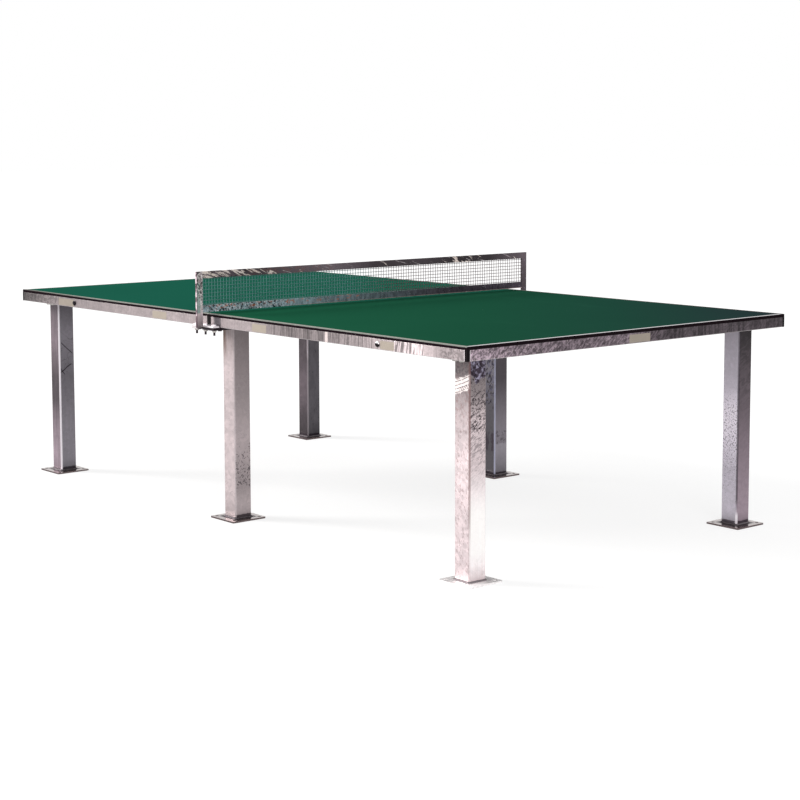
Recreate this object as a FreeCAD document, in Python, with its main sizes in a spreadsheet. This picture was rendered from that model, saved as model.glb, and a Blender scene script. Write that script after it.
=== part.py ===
"""Outdoor table tennis table of galvanised steel: two tops, six legs and a fixed wire net.

Millimetres, +Z up. The origin is on the floor under the middle of the table. X runs along the
table's length, with the joint of the two halves at x = 0, and the net stands over that joint.
Half A is on +X and half B on -X. Front is -Y and back is +Y.
"""
import FreeCAD, Part
import math
import os

import Sketcher

SIZES = {
    # whole table
    "table_length": 2740,
    "table_width": 1525,
    "table_height": 760,
    "joint_gap": 2,
    # tops
    "panel_thickness": 10,
    "panel_corner": 3,
    # channel rails round each half, and the black pieces at their corners
    "rail_height": 36,
    "rail_depth": 30,
    "rail_wall": 2.5,
    "rail_bend": 2,
    "guard_side": 11.5,
    "guard_corner": 2,
    "guard_plug": 24,
    "guard_tongue": 5,
    "guard_slack": 0.2,
    # cross members under the tops
    "member_wall": 2.5,
    "member_side_gap": 11.5,
    # legs
    "leg_side": 70,
    "leg_wall": 3,
    "leg_corner": 5,
    "leg_inset_x": 113,
    "leg_inset_y": 117,
    "plate_corner": 4,
    "foot_margin": 37.5,
    "foot_thickness": 6,
    "anchor_inset": 17.5,
    "anchor_hole": 13,
    "head_margin": 27.5,
    "head_thickness": 6,
    "head_bolt_gap": 14.5,
    # net
    "net_height": 152.5,
    "net_overhang": 54,
    "net_gap": 6,
    "net_bar_width": 25,
    "net_bar_wall": 1.5,
    "post_drop": 54,
    "post_tip_flat": 0.5,
    "wire_diameter": 2,
    "wire_pitch": 12.7,
    "wire_grip": 10,
    "wire_side_gap": 0.5,
    "wire_end_gap": 0.3,
    # plates that carry the net
    "bracket_thickness": 10,
    "net_foot_thickness": 6,
    "net_foot_gap": 2,
    "net_bolt_spacing": 55,
    "net_bolt_edge": 11,
    "net_bolt_inset": 13.5,
    "bracket_lip": 1,
    "bracket_leg_gap": 1,
    "bracket_post_gap": 0.5,
    "bracket_bolt_gap": 10,
    "bracket_bolt_edge": 11.5,
    # fasteners
    "bolt_slack": 0.5,
    "thread_slack": 0.15,
    "bolt_end": 2,
    "large_bolt": 10,
    "large_flats": 16,
    "large_head": 6.4,
    "large_nut": 8,
    "washer_side": 20,
    "washer_thickness": 2,
    "small_bolt": 8,
    "small_flats": 13,
    "small_head": 5.3,
    "small_nut": 6.5,
    "net_bolt_end": 12,
    "dome_side": 20,
    "dome_height": 5,
    "dome_rim": 0.5,
    "dome_inset": 423,
    "screw_diameter": 5,
    "screw_head": 9,
    "screw_head_height": 3,
    "screw_grip": 7,
    "joint_bolt_spacing": 350,
}
SIDE_SCREWS = 4
END_SCREWS = 3
MEMBER_BAYS = 3
TOUCH = 0.001
CUT_MARGIN = 1

document = FreeCAD.newDocument("table_tennis_table")
sheet = document.addObject("Spreadsheet::Sheet", "sizes")
nodes = []


class Formula:
    """A length in sheet cells. Its text binds a property and its value places a copy."""

    def __init__(self, text, value):
        self.text = text
        self.value = float(value)

    def __add__(self, other):
        other = formula(other)
        return Formula(f"({self.text} + {other.text})", self.value + other.value)

    def __sub__(self, other):
        other = formula(other)
        return Formula(f"({self.text} - {other.text})", self.value - other.value)

    def __mul__(self, other):
        other = formula(other)
        return Formula(f"({self.text} * {other.text})", self.value * other.value)

    def __truediv__(self, other):
        other = formula(other)
        return Formula(f"({self.text} / {other.text})", self.value / other.value)

    def __neg__(self):
        return Formula(f"(-1 * {self.text})", -self.value)

    def __radd__(self, other):
        return formula(other) + self

    def __rsub__(self, other):
        return formula(other) - self

    def __rmul__(self, other):
        return formula(other) * self


class Cells:
    """The sheet's cells as formulas, one attribute for each alias."""


def formula(item):
    """Gives a plain number the same form as a formula."""
    if isinstance(item, Formula):
        return item
    return Formula(repr(float(item)), item)


def fill_sheet():
    """Writes each driving size into the sheet and returns the cells as formulas."""
    cells = Cells()
    for row, (alias, number) in enumerate(SIZES.items(), start=1):
        sheet.set(f"A{row}", alias)
        sheet.set(f"B{row}", str(number))
        sheet.setAlias(f"B{row}", alias)
        setattr(cells, alias, Formula(f"sizes.{alias}", number))
    document.recompute()
    return cells


c = fill_sheet()

# heights and lengths that several pieces share
panel_bottom = c.table_height - c.panel_thickness
frame_bottom = panel_bottom - c.rail_height
head_bottom = frame_bottom - c.head_thickness
half_gap = c.joint_gap / 2
half_length = c.table_length / 2
half_width = c.table_width / 2
half_span = half_length - half_gap
side_run = half_span - 2 * c.guard_side
end_run = c.table_width - 2 * c.guard_side
leg_x = half_length - c.leg_inset_x
leg_y = half_width - c.leg_inset_y
leg_bore = c.leg_side - 2 * c.leg_wall
foot_side = c.leg_side + 2 * c.foot_margin
anchor_reach = foot_side / 2 - c.anchor_inset
head_side = c.leg_side + 2 * c.head_margin
joint_bolt_x = half_gap + c.rail_depth / 2
head_bolt_y = c.leg_side / 2 + c.head_bolt_gap
member_width = 2 * (joint_bolt_x + c.member_side_gap + c.member_wall)
net_top = c.table_height + c.net_height
net_end = half_width + c.net_overhang
net_bar_thickness = 2 * (c.wire_diameter + c.wire_side_gap + c.net_bar_wall)
net_run = 2 * (net_end - c.net_bar_width)
lower_bar = c.table_height + c.net_gap
window_low = lower_bar + c.net_bar_width
window_high = net_top - c.net_bar_width
post_inner = net_end - c.net_bar_width
bracket_outer = post_inner - c.bracket_post_gap
bracket_inner = leg_y + head_side / 2 + c.bracket_leg_gap
net_foot_width = 2 * (c.net_bolt_spacing + c.net_bolt_edge)
bracket_width = net_foot_width + 2 * c.bracket_lip
net_bolt_y = post_inner - c.net_bolt_inset
rim_bolt_x = half_gap + c.guard_side + c.guard_plug + c.bracket_bolt_gap
rim_bolt_y = half_width - c.rail_depth / 2
joint_rail_bolt_y = bracket_inner + c.bracket_bolt_edge


# ---- sketches and features -------------------------------------------------------------------


def new_body(name):
    return document.addObject("PartDesign::Body", name)


def sketch_on(body, role, lift=0):
    """A sketch on one of the body's own origin planes, lifted along the plane's normal."""
    planes = [item for item in body.Origin.OriginFeatures if item.Role == role]
    sketch = body.newObject("Sketcher::SketchObject", f"{body.Name}_sketch")
    sketch.AttachmentSupport = (planes[0], "")
    sketch.MapMode = "FlatFace"
    sketch.setExpression("AttachmentOffset.Base.z", formula(lift).text)
    return sketch


def hold(sketch, kind, index, end, distance, name):
    """Holds one point of the sketch at a distance from the origin along X or Y."""
    distance = formula(distance)
    number = sketch.addConstraint(Sketcher.Constraint(kind, -1, 1, index, end, distance.value))
    sketch.renameConstraint(number, name)
    sketch.setExpression(f"Constraints.{name}", distance.text)


def outline(sketch, corners):
    """Closes straight lines through corners, each held by a formula for X and one for Y."""
    corners = [(formula(x), formula(y)) for x, y in corners]
    points = [FreeCAD.Vector(x.value, y.value, 0) for x, y in corners]
    first = sketch.GeometryCount
    count = len(points)
    for index in range(count):
        sketch.addGeometry(Part.LineSegment(points[index], points[(index + 1) % count]))
    for index in range(count):
        following = first + (index + 1) % count
        sketch.addConstraint(Sketcher.Constraint("Coincident", first + index, 2, following, 1))
    for index, (x, y) in enumerate(corners):
        hold(sketch, "DistanceX", first + index, 1, x, f"x{first + index}")
        hold(sketch, "DistanceY", first + index, 1, y, f"y{first + index}")


def rectangle(sketch, width, depth):
    """A rectangle centred on the sketch's origin."""
    outline(sketch, [
        (-width / 2, -depth / 2),
        (width / 2, -depth / 2),
        (width / 2, depth / 2),
        (-width / 2, depth / 2),
    ])


def circles(sketch, spots, diameter):
    """Equal circles, each with its centre held by two formulas."""
    diameter = formula(diameter)
    axis = FreeCAD.Vector(0, 0, 1)
    for x, y in spots:
        centre = FreeCAD.Vector(formula(x).value, formula(y).value, 0)
        index = sketch.addGeometry(Part.Circle(centre, axis, diameter.value / 2))
        hold(sketch, "DistanceX", index, 3, x, f"x{index}")
        hold(sketch, "DistanceY", index, 3, y, f"y{index}")
        number = sketch.addConstraint(Sketcher.Constraint("Diameter", index, diameter.value))
        sketch.renameConstraint(number, f"d{index}")
        sketch.setExpression(f"Constraints.d{index}", diameter.text)


def hexagon(sketch, flats):
    """A regular hexagon with two corners on the sketch's X axis."""
    corner = flats / math.sqrt(3)
    outline(sketch, [
        (corner, 0),
        (corner / 2, flats / 2),
        (-corner / 2, flats / 2),
        (-corner, 0),
        (-corner / 2, -flats / 2),
        (corner / 2, -flats / 2),
    ])


def pad(body, sketch, length, downward=False, midplane=False):
    """Adds material along the sketch's normal, against it, or half to each side."""
    feature = body.newObject("PartDesign::Pad", f"{body.Name}_pad")
    feature.Profile = sketch
    feature.Length = formula(length).value
    feature.setExpression("Length", formula(length).text)
    feature.Reversed = downward
    feature.Midplane = midplane
    sketch.Visibility = False
    document.recompute()
    return feature


def pocket(body, sketch, depth, upward=False):
    """Cuts against the sketch's normal, or along it when upward, and proves that it cut."""
    before = body.Shape.Volume
    feature = body.newObject("PartDesign::Pocket", f"{body.Name}_pocket")
    feature.Profile = sketch
    feature.Length = formula(depth).value
    feature.setExpression("Length", formula(depth).text)
    feature.Reversed = upward
    sketch.Visibility = False
    document.recompute()
    if body.Shape.Volume >= before:
        raise RuntimeError(f"{feature.Name} of {body.Name} cuts nothing")
    return feature


def edges_where(shape, test):
    """Names of the edges whose first and last points pass the test."""
    names = []
    for number, edge in enumerate(shape.Edges, start=1):
        if test(edge.Vertexes[0].Point, edge.Vertexes[-1].Point):
            names.append(f"Edge{number}")
    return names


def round_edges(body, test, radius):
    """Rounds the chosen edges of the body's newest feature."""
    base = body.Tip
    feature = body.newObject("PartDesign::Fillet", f"{body.Name}_fillet")
    feature.Base = (base, edges_where(base.Shape, test))
    feature.setExpression("Radius", formula(radius).text)
    document.recompute()
    return feature


def upright(start, end):
    """True for an edge that runs along Z."""
    level = math.hypot(end.x - start.x, end.y - start.y)
    return level < TOUCH and abs(end.z - start.z) > TOUCH


def place(piece, x, y, z, turn=0):
    """Seats a piece by three formulas, turned about Z by whole degrees."""
    piece.Placement = FreeCAD.Placement(
        FreeCAD.Vector(0, 0, 0), FreeCAD.Rotation(FreeCAD.Vector(0, 0, 1), turn)
    )
    for letter, distance in zip("xyz", (x, y, z)):
        piece.setExpression(f"Placement.Base.{letter}", formula(distance).text)


def keep(piece, name):
    """Makes a piece one of the table's nodes."""
    piece.Label = name
    nodes.append(piece)
    return piece


def spread(count, length):
    """Evenly spaced places along a length, with half a space at each end."""
    return [length * ((index + 0.5) / count) for index in range(count)]


# ---- tops ------------------------------------------------------------------------------------


def screw_spots():
    """Where the screws meet a top: X from its joint edge, Y from its middle line."""
    rim = c.rail_depth / 2
    side = [c.guard_side + place_x for place_x in spread(SIDE_SCREWS, side_run)]
    across = [place_y - end_run / 2 for place_y in spread(END_SCREWS, end_run)]
    spots = [(x, y) for x in side for y in (rim - half_width, half_width - rim)]
    spots += [(x, y) for x in (rim, half_span - rim) for y in across]
    return spots


def top_panel(name, x, turn):
    """A top with its joint edge on local X = 0 and blind screw holes in its underside."""
    body = new_body(name)
    sketch = sketch_on(body, "XY_Plane")
    outline(sketch, [
        (0, -half_width),
        (half_span, -half_width),
        (half_span, half_width),
        (0, half_width),
    ])
    pad(body, sketch, c.panel_thickness)
    round_edges(body, upright, c.panel_corner)
    holes = sketch_on(body, "XY_Plane")
    circles(holes, screw_spots(), c.screw_diameter + 2 * c.thread_slack)
    pocket(body, holes, c.screw_grip + c.thread_slack, upward=True)
    place(body, x, 0, panel_bottom, turn)
    return keep(body, name)


# ---- frame of each half ----------------------------------------------------------------------


def channel(name, run):
    """A folded channel on local +X with its web on Y = 0 and its open side towards +Y.

    Both ends stop square beside the corner guard, and further in they are mitred."""
    body = new_body(name)
    profile = sketch_on(body, "YZ_Plane")
    wall = c.rail_wall
    outline(profile, [
        (0, 0),
        (c.rail_depth, 0),
        (c.rail_depth, wall),
        (wall, wall),
        (wall, c.rail_height - wall),
        (c.rail_depth, c.rail_height - wall),
        (c.rail_depth, c.rail_height),
        (0, c.rail_height),
    ])
    pad(body, profile, run)

    def outer_bend(start, end):
        on_web = abs(start.y) < TOUCH and abs(end.y) < TOUCH
        return on_web and abs(end.x - start.x) > TOUCH

    round_edges(body, outer_bend, c.rail_bend)
    cut = c.rail_depth - c.guard_side
    mitres = sketch_on(body, "XY_Plane")
    outline(mitres, [(0, c.guard_side), (cut, c.rail_depth), (0, c.rail_depth)])
    outline(mitres, [(run, c.guard_side), (run, c.rail_depth), (run - cut, c.rail_depth)])
    pocket(body, mitres, c.rail_height, upward=True)
    return body


def flange_holes(body, spots, diameter, top):
    """Round holes through the top or the bottom flange of a channel."""
    lift = c.rail_height if top else 0
    sketch = sketch_on(body, "XY_Plane", lift)
    circles(sketch, spots, diameter)
    pocket(body, sketch, 2 * c.rail_wall, upward=not top)


def web_holes(body, spots, diameter):
    """Round holes through a channel's web, each at a place along X and a height."""
    sketch = sketch_on(body, "XZ_Plane")
    circles(sketch, spots, diameter)
    pocket(body, sketch, 2 * c.rail_wall)


def screw_holes(body, places):
    """Clearance holes for the screws that go up into the top."""
    hole = c.screw_diameter + 2 * c.bolt_slack
    flange_holes(body, [(x, c.rail_depth / 2) for x in places], hole, top=True)


def side_rail(name, joint_first, x, y, turn):
    """A rail along the table's length. joint_first tells which end meets the joint."""
    body = channel(name, side_run)
    screw_holes(body, spread(SIDE_SCREWS, side_run))
    bracket_bolt = rim_bolt_x - half_gap - c.guard_side
    dome_bolt = side_run + c.guard_side - c.dome_inset
    if not joint_first:
        bracket_bolt = side_run - bracket_bolt
        dome_bolt = side_run - dome_bolt
    hole = c.small_bolt + 2 * c.bolt_slack
    flange_holes(body, [(bracket_bolt, c.rail_depth / 2)], hole, top=False)
    web_holes(body, [(dome_bolt, c.rail_height / 2)], hole)
    place(body, x, y, frame_bottom, turn)
    return keep(body, name)


def end_rail(name, x, y, turn):
    """The rail across an end of the table."""
    body = channel(name, end_run)
    screw_holes(body, spread(END_SCREWS, end_run))
    place(body, x, y, frame_bottom, turn)
    return keep(body, name)


def joint_rail(name, x, y, turn):
    """The rail along the joint, bolted to its twin, to the middle legs and to the brackets."""
    body = channel(name, end_run)
    middle = end_run / 2
    screw_holes(body, spread(END_SCREWS, end_run))
    leg_spots = []
    bracket_spots = []
    for side in (-1, 1):
        for step in (-1, 1):
            leg_spots.append((middle + side * leg_y + step * head_bolt_y, c.rail_depth / 2))
        bracket_spots.append((middle + side * joint_rail_bolt_y, c.rail_depth / 2))
    flange_holes(body, leg_spots, c.large_bolt + 2 * c.bolt_slack, top=False)
    flange_holes(body, bracket_spots, c.small_bolt + 2 * c.bolt_slack, top=False)
    joint_spots = [(middle + step * c.joint_bolt_spacing, c.rail_height / 2) for step in (-1, 0, 1)]
    web_holes(body, joint_spots, c.large_bolt + 2 * c.bolt_slack)
    place(body, x, y, frame_bottom, turn)
    return keep(body, name)


def corner_guard(name):
    """A corner piece: a square post as high as the rails, with a tongue into each rail."""
    body = new_body(name)
    post = sketch_on(body, "XY_Plane")
    side = c.guard_side
    outline(post, [(0, 0), (side, 0), (side, side), (0, side)])
    pad(body, post, c.rail_height)

    def outer(start, end):
        return upright(start, end) and math.hypot(start.x, start.y) < TOUCH

    round_edges(body, outer, c.guard_corner)
    tongue = sketch_on(body, "XY_Plane", c.rail_wall + c.guard_slack)
    near = c.rail_wall + c.guard_slack
    far = near + c.guard_tongue
    reach = side + c.guard_plug
    outline(tongue, [
        (near, near),
        (reach, near),
        (reach, far),
        (far, far),
        (far, reach),
        (near, reach),
    ])
    pad(body, tongue, c.rail_height - 2 * near)
    return body


def corner_guards(name, guard, side):
    """The four corner guards of one half, as one group."""
    near = half_gap.value * side
    far = half_length.value * side
    width = half_width.value
    if side > 0:
        corners = [(near, -width, 0), (far, -width, 90), (far, width, 180), (near, width, 270)]
    else:
        corners = [(far, -width, 0), (near, -width, 90), (near, width, 180), (far, width, 270)]
    places = [(x, y, frame_bottom.value, turned(0, 0, turn)) for x, y, turn in corners]
    return group(name, guard, places)


def cross_member(name, x, bolted):
    """An open-topped channel across one half, welded between the side rails.

    The one over a pair of legs has the holes for their bolts."""
    body = new_body(name)
    wall = c.member_wall
    side = member_width / 2
    profile = sketch_on(body, "XZ_Plane")
    outline(profile, [
        (-side, 0),
        (side, 0),
        (side, c.rail_height),
        (side - wall, c.rail_height),
        (side - wall, wall),
        (wall - side, wall),
        (wall - side, c.rail_height),
        (-side, c.rail_height),
    ])
    pad(body, profile, c.table_width - 2 * c.rail_depth, midplane=True)
    if bolted:
        spots = []
        for row in (-leg_y, leg_y):
            spots += [(x, row + y) for x, y in four_spots(joint_bolt_x, head_bolt_y)]
        holes = sketch_on(body, "XY_Plane")
        circles(holes, spots, c.large_bolt + 2 * c.bolt_slack)
        pocket(body, holes, 2 * wall, upward=True)
    place(body, x, 0, frame_bottom)
    return keep(body, name)


# ---- legs ------------------------------------------------------------------------------------


def leg_plate(name, side, thickness, spots, hole, x, y, z):
    """A square plate with rounded corners and four holes."""
    body = new_body(name)
    shape = sketch_on(body, "XY_Plane")
    rectangle(shape, side, side)
    pad(body, shape, thickness)
    round_edges(body, upright, c.plate_corner)
    holes = sketch_on(body, "XY_Plane")
    circles(holes, spots, hole)
    pocket(body, holes, thickness + CUT_MARGIN, upward=True)
    place(body, x, y, z)
    return keep(body, name)


def four_spots(reach_x, reach_y):
    """The four corners of a rectangle about the origin."""
    return [(step_x * reach_x, step_y * reach_y) for step_x in (-1, 1) for step_y in (-1, 1)]


def leg(where, x, y):
    """A square tube on a foot plate, with a head plate that bolts up to the frame."""
    anchors = four_spots(anchor_reach, anchor_reach)
    leg_plate(f"foot_plate_{where}", foot_side, c.foot_thickness, anchors, c.anchor_hole, x, y, 0)
    body = new_body(f"leg_{where}")
    outer = sketch_on(body, "XY_Plane")
    rectangle(outer, c.leg_side, c.leg_side)
    pad(body, outer, head_bottom - c.foot_thickness)
    round_edges(body, upright, c.leg_corner)
    inner = sketch_on(body, "XY_Plane")
    rectangle(inner, leg_bore, leg_bore)
    pocket(body, inner, head_bottom, upward=True)
    place(body, x, y, c.foot_thickness)
    keep(body, f"leg_{where}")
    bolts = four_spots(joint_bolt_x, head_bolt_y)
    hole = c.large_bolt + 2 * c.bolt_slack
    leg_plate(f"head_plate_{where}", head_side, c.head_thickness, bolts, hole, x, y, head_bottom)


# ---- net -------------------------------------------------------------------------------------


def net_post(name, side):
    """A flat bar on edge, rounded at its lower end, that carries one end of the net."""
    body = new_body(name)
    low = -c.post_drop
    high = c.net_height
    profile = sketch_on(body, "YZ_Plane")
    half_bar = c.net_bar_width / 2
    outline(profile, [(-half_bar, low), (half_bar, low), (half_bar, high), (-half_bar, high)])
    pad(body, profile, net_bar_thickness, midplane=True)

    def lower_end(start, end):
        at_foot = abs(start.z - low.value) < TOUCH and abs(end.z - low.value) < TOUCH
        return at_foot and abs(end.x - start.x) > TOUCH

    round_edges(body, lower_end, (c.net_bar_width - c.post_tip_flat) / 2)
    place(body, 0, side * (net_end - half_bar), c.table_height)
    return keep(body, name)


def net_rail(name, z, opens_up):
    """A folded channel between the posts, with the wire mesh in its open side."""
    body = new_body(name)
    profile = sketch_on(body, "XZ_Plane")
    side = net_bar_thickness / 2
    wall = c.net_bar_wall
    inner = side - wall
    tall = c.net_bar_width
    base, lip, floor = (0, tall, wall) if opens_up else (tall, 0, tall - wall)
    outline(profile, [
        (-side, base),
        (side, base),
        (side, lip),
        (inner, lip),
        (inner, floor),
        (-inner, floor),
        (-inner, lip),
        (-side, lip),
    ])
    pad(body, profile, net_run, midplane=True)
    place(body, 0, 0, z)
    return keep(body, name)


def net_mesh(name):
    """Welded mesh: upright wires on the A side of the joint plane, long wires on the B side."""
    radius = c.wire_diameter.value / 2
    pitch = c.wire_pitch.value
    low = window_low.value - c.wire_grip.value
    high = window_high.value + c.wire_grip.value
    reach = post_inner.value - c.wire_end_gap.value
    wires = []
    columns = int(2 * (reach - radius) / pitch) + 1
    for column in range(columns):
        foot = FreeCAD.Vector(radius, (column - (columns - 1) / 2) * pitch, low)
        wires.append(Part.makeCylinder(radius, high - low, foot, FreeCAD.Vector(0, 0, 1)))
    middle = (window_low.value + window_high.value) / 2
    rows = int((window_high.value - window_low.value - 2 * radius) / pitch) + 1
    for row in range(rows):
        end = FreeCAD.Vector(-radius, -reach, middle + (row - (rows - 1) / 2) * pitch)
        wires.append(Part.makeCylinder(radius, 2 * reach, end, FreeCAD.Vector(0, 1, 0)))
    mesh = document.addObject("Part::Feature", name)
    mesh.Shape = Part.makeCompound(wires)
    return keep(mesh, name)


def net_plate(name, width, near, far, z, thickness, spots, side):
    """A flat plate across the joint, between two distances from the table's middle line."""
    body = new_body(name)
    shape = sketch_on(body, "XY_Plane")
    outline(shape, [
        (-width / 2, side * near),
        (width / 2, side * near),
        (width / 2, side * far),
        (-width / 2, side * far),
    ])
    pad(body, shape, thickness)
    holes = sketch_on(body, "XY_Plane")
    circles(holes, spots, c.small_bolt + 2 * c.bolt_slack)
    pocket(body, holes, thickness + CUT_MARGIN, upward=True)
    place(body, 0, 0, z)
    return keep(body, name)


def net_carrier(where, side):
    """The bracket under the joint and the foot of the net on top of it, at one side."""
    row = [(step * c.net_bolt_spacing, side * net_bolt_y) for step in (-1, 0, 1)]
    frame_bolts = []
    for step in (-1, 1):
        frame_bolts.append((step * rim_bolt_x, side * rim_bolt_y))
        frame_bolts.append((step * joint_bolt_x, side * joint_rail_bolt_y))
    net_plate(f"net_bracket_{where}", bracket_width, bracket_inner, bracket_outer,
              frame_bottom - c.bracket_thickness, c.bracket_thickness, row + frame_bolts, side)
    net_plate(f"net_foot_{where}", net_foot_width, half_width + c.net_foot_gap, post_inner,
              frame_bottom, c.net_foot_thickness, row, side)


# ---- fasteners -------------------------------------------------------------------------------


def hex_bolt(name, thread, flats, head, shank):
    """A hexagon bolt with its head under local Z = 0 and its shank above."""
    body = new_body(name)
    hexed = sketch_on(body, "XY_Plane")
    hexagon(hexed, flats)
    pad(body, hexed, head, downward=True)
    round_part = sketch_on(body, "XY_Plane")
    circles(round_part, [(0, 0)], thread)
    pad(body, round_part, shank)
    return body


def hex_nut(name, thread, flats, height):
    """A nut that stands on local Z = 0, with a plain bore for its thread."""
    body = new_body(name)
    hexed = sketch_on(body, "XY_Plane")
    hexagon(hexed, flats)
    pad(body, hexed, height)
    bore = sketch_on(body, "XY_Plane")
    circles(bore, [(0, 0)], thread + 2 * c.thread_slack)
    pocket(body, bore, height + CUT_MARGIN, upward=True)
    return body


def washer(name, thread, outside, thickness):
    """A flat washer that stands on local Z = 0."""
    body = new_body(name)
    ring = sketch_on(body, "XY_Plane")
    circles(ring, [(0, 0)], outside)
    pad(body, ring, thickness)
    bore = sketch_on(body, "XY_Plane")
    circles(bore, [(0, 0)], thread + 2 * c.bolt_slack)
    pocket(body, bore, thickness + CUT_MARGIN, upward=True)
    return body


def domed_bolt(name, thread, outside, height, shank):
    """A cup-head bolt: a dome under local Z = 0 and its shank above."""
    body = new_body(name)
    disc = sketch_on(body, "XY_Plane")
    circles(disc, [(0, 0)], outside)
    pad(body, disc, height, downward=True)

    def crown(start, end):
        return abs(start.z + height.value) < TOUCH and abs(end.z + height.value) < TOUCH

    round_edges(body, crown, height - c.dome_rim)
    round_part = sketch_on(body, "XY_Plane")
    circles(round_part, [(0, 0)], thread)
    pad(body, round_part, shank)
    return body


def turned(about_x, about_y, about_z):
    """A rotation in degrees about X first, then Y, then Z."""
    return FreeCAD.Rotation(about_z, about_y, about_x)


def group(name, master, places):
    """Separate solids, copied from one master piece to each place."""
    copies = []
    for x, y, z, rotation in places:
        copy = master.Shape.copy()
        copy.Placement = FreeCAD.Placement(FreeCAD.Vector(x, y, z), rotation)
        copies.append(copy)
    piece = document.addObject("Part::Feature", name)
    piece.Shape = Part.makeCompound(copies)
    return keep(piece, name)


def lifted(spots, height):
    """Upright places at one height over the given spots."""
    return [(x, y, height, turned(0, 0, 0)) for x, y in spots]


def leg_centres():
    """Plan centre of each leg, as formulas, with the words for its place."""
    columns = (("b", -leg_x), ("middle", formula(0)), ("a", leg_x))
    rows = (("front", -leg_y), ("back", leg_y))
    return [(f"{row}_{column}", x, y) for column, x in columns for row, y in rows]


def leg_fasteners():
    """Bolts, washers and nuts that hold the head plates to the frame."""
    spots = []
    for _, x, y in leg_centres():
        for step_x, step_y in four_spots(joint_bolt_x, head_bolt_y):
            spots.append(((x + step_x).value, (y + step_y).value))
    shank = c.washer_thickness + c.head_thickness + c.rail_wall + c.large_nut + c.bolt_end
    bolt = hex_bolt("large_bolt_master", c.large_bolt, c.large_flats, c.large_head, shank)
    nut = hex_nut("large_nut_master", c.large_bolt, c.large_flats, c.large_nut)
    ring = washer("washer_master", c.large_bolt, c.washer_side, c.washer_thickness)
    washer_bottom = head_bottom - c.washer_thickness
    group("leg_bolts", bolt, lifted(spots, washer_bottom.value))
    group("leg_washers", ring, lifted(spots, washer_bottom.value))
    group("leg_nuts", nut, lifted(spots, (frame_bottom + c.rail_wall).value))
    return nut


def joint_fasteners(nut):
    """Bolts along X through the webs of the two joint rails, with their nuts."""
    height = (frame_bottom + c.rail_height / 2).value
    face = (half_gap + c.rail_wall).value
    shank = c.joint_gap + 2 * c.rail_wall + c.large_nut + c.bolt_end
    bolt = hex_bolt("joint_bolt_master", c.large_bolt, c.large_flats, c.large_head, shank)
    bolts = []
    nuts = []
    for step in (-1, 0, 1):
        y = step * c.joint_bolt_spacing.value
        bolts.append((face, y, height, turned(0, -90, 0)))
        nuts.append((-face, y, height, turned(0, -90, 0)))
    group("joint_bolts", bolt, bolts)
    group("joint_nuts", nut, nuts)


def net_fasteners():
    """Bolts of the brackets and of the net's feet, with their nuts."""
    sides = (-1, 1)
    nut = hex_nut("small_nut_master", c.small_bolt, c.small_flats, c.small_nut)
    frame_spots = [(step * x.value, side * y.value)
                   for x, y in ((rim_bolt_x, rim_bolt_y), (joint_bolt_x, joint_rail_bolt_y))
                   for step in (-1, 1) for side in sides]
    shank = c.bracket_thickness + c.rail_wall + c.small_nut + c.bolt_end
    bolt = hex_bolt("bracket_bolt_master", c.small_bolt, c.small_flats, c.small_head, shank)
    group("bracket_bolts", bolt, lifted(frame_spots, (frame_bottom - c.bracket_thickness).value))
    group("bracket_nuts", nut, lifted(frame_spots, (frame_bottom + c.rail_wall).value))
    row = [(step * c.net_bolt_spacing.value, side * net_bolt_y.value)
           for step in (-1, 0, 1) for side in sides]
    shank = c.net_foot_thickness + c.bracket_thickness + c.small_nut + c.net_bolt_end
    bolt = hex_bolt("net_bolt_master", c.small_bolt, c.small_flats, c.small_head, shank)
    over = turned(180, 0, 0)
    top = (frame_bottom + c.net_foot_thickness).value
    below = (frame_bottom - c.bracket_thickness).value
    group("net_bolts", bolt, [(x, y, top, over) for x, y in row])
    group("net_nuts", nut, [(x, y, below, over) for x, y in row])
    return nut


def side_fasteners(nut):
    """Domed bolts in the side rails near the end legs, with their nuts inside the rails."""
    height = (frame_bottom + c.rail_height / 2).value
    shank = c.rail_wall + c.small_nut + c.bolt_end
    bolt = domed_bolt("domed_bolt_master", c.small_bolt, c.dome_side, c.dome_height, shank)
    bolts = []
    nuts = []
    reach = (half_length - c.dome_inset).value
    for x in (-reach, reach):
        for side in (-1, 1):
            inward = turned(90 * side, 0, 0)
            bolts.append((x, side * half_width.value, height, inward))
            nuts.append((x, side * (half_width - c.rail_wall).value, height, inward))
    group("side_bolts", bolt, bolts)
    group("side_nuts", nut, nuts)


def panel_screws():
    """Pan-head screws from the rails' top flanges up into each top."""
    shank = c.rail_wall + c.screw_grip
    body = new_body("screw_master")
    head = sketch_on(body, "XY_Plane")
    circles(head, [(0, 0)], c.screw_head)
    pad(body, head, c.screw_head_height, downward=True)
    stem = sketch_on(body, "XY_Plane")
    circles(stem, [(0, 0)], c.screw_diameter)
    pad(body, stem, shank)
    seat = (panel_bottom - c.rail_wall).value
    for letter, side in (("a", 1), ("b", -1)):
        spots = [(side * (half_gap + x).value, y.value) for x, y in screw_spots()]
        group(f"panel_screws_{letter}", body, lifted(spots, seat))


# ---- assembly --------------------------------------------------------------------------------


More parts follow.
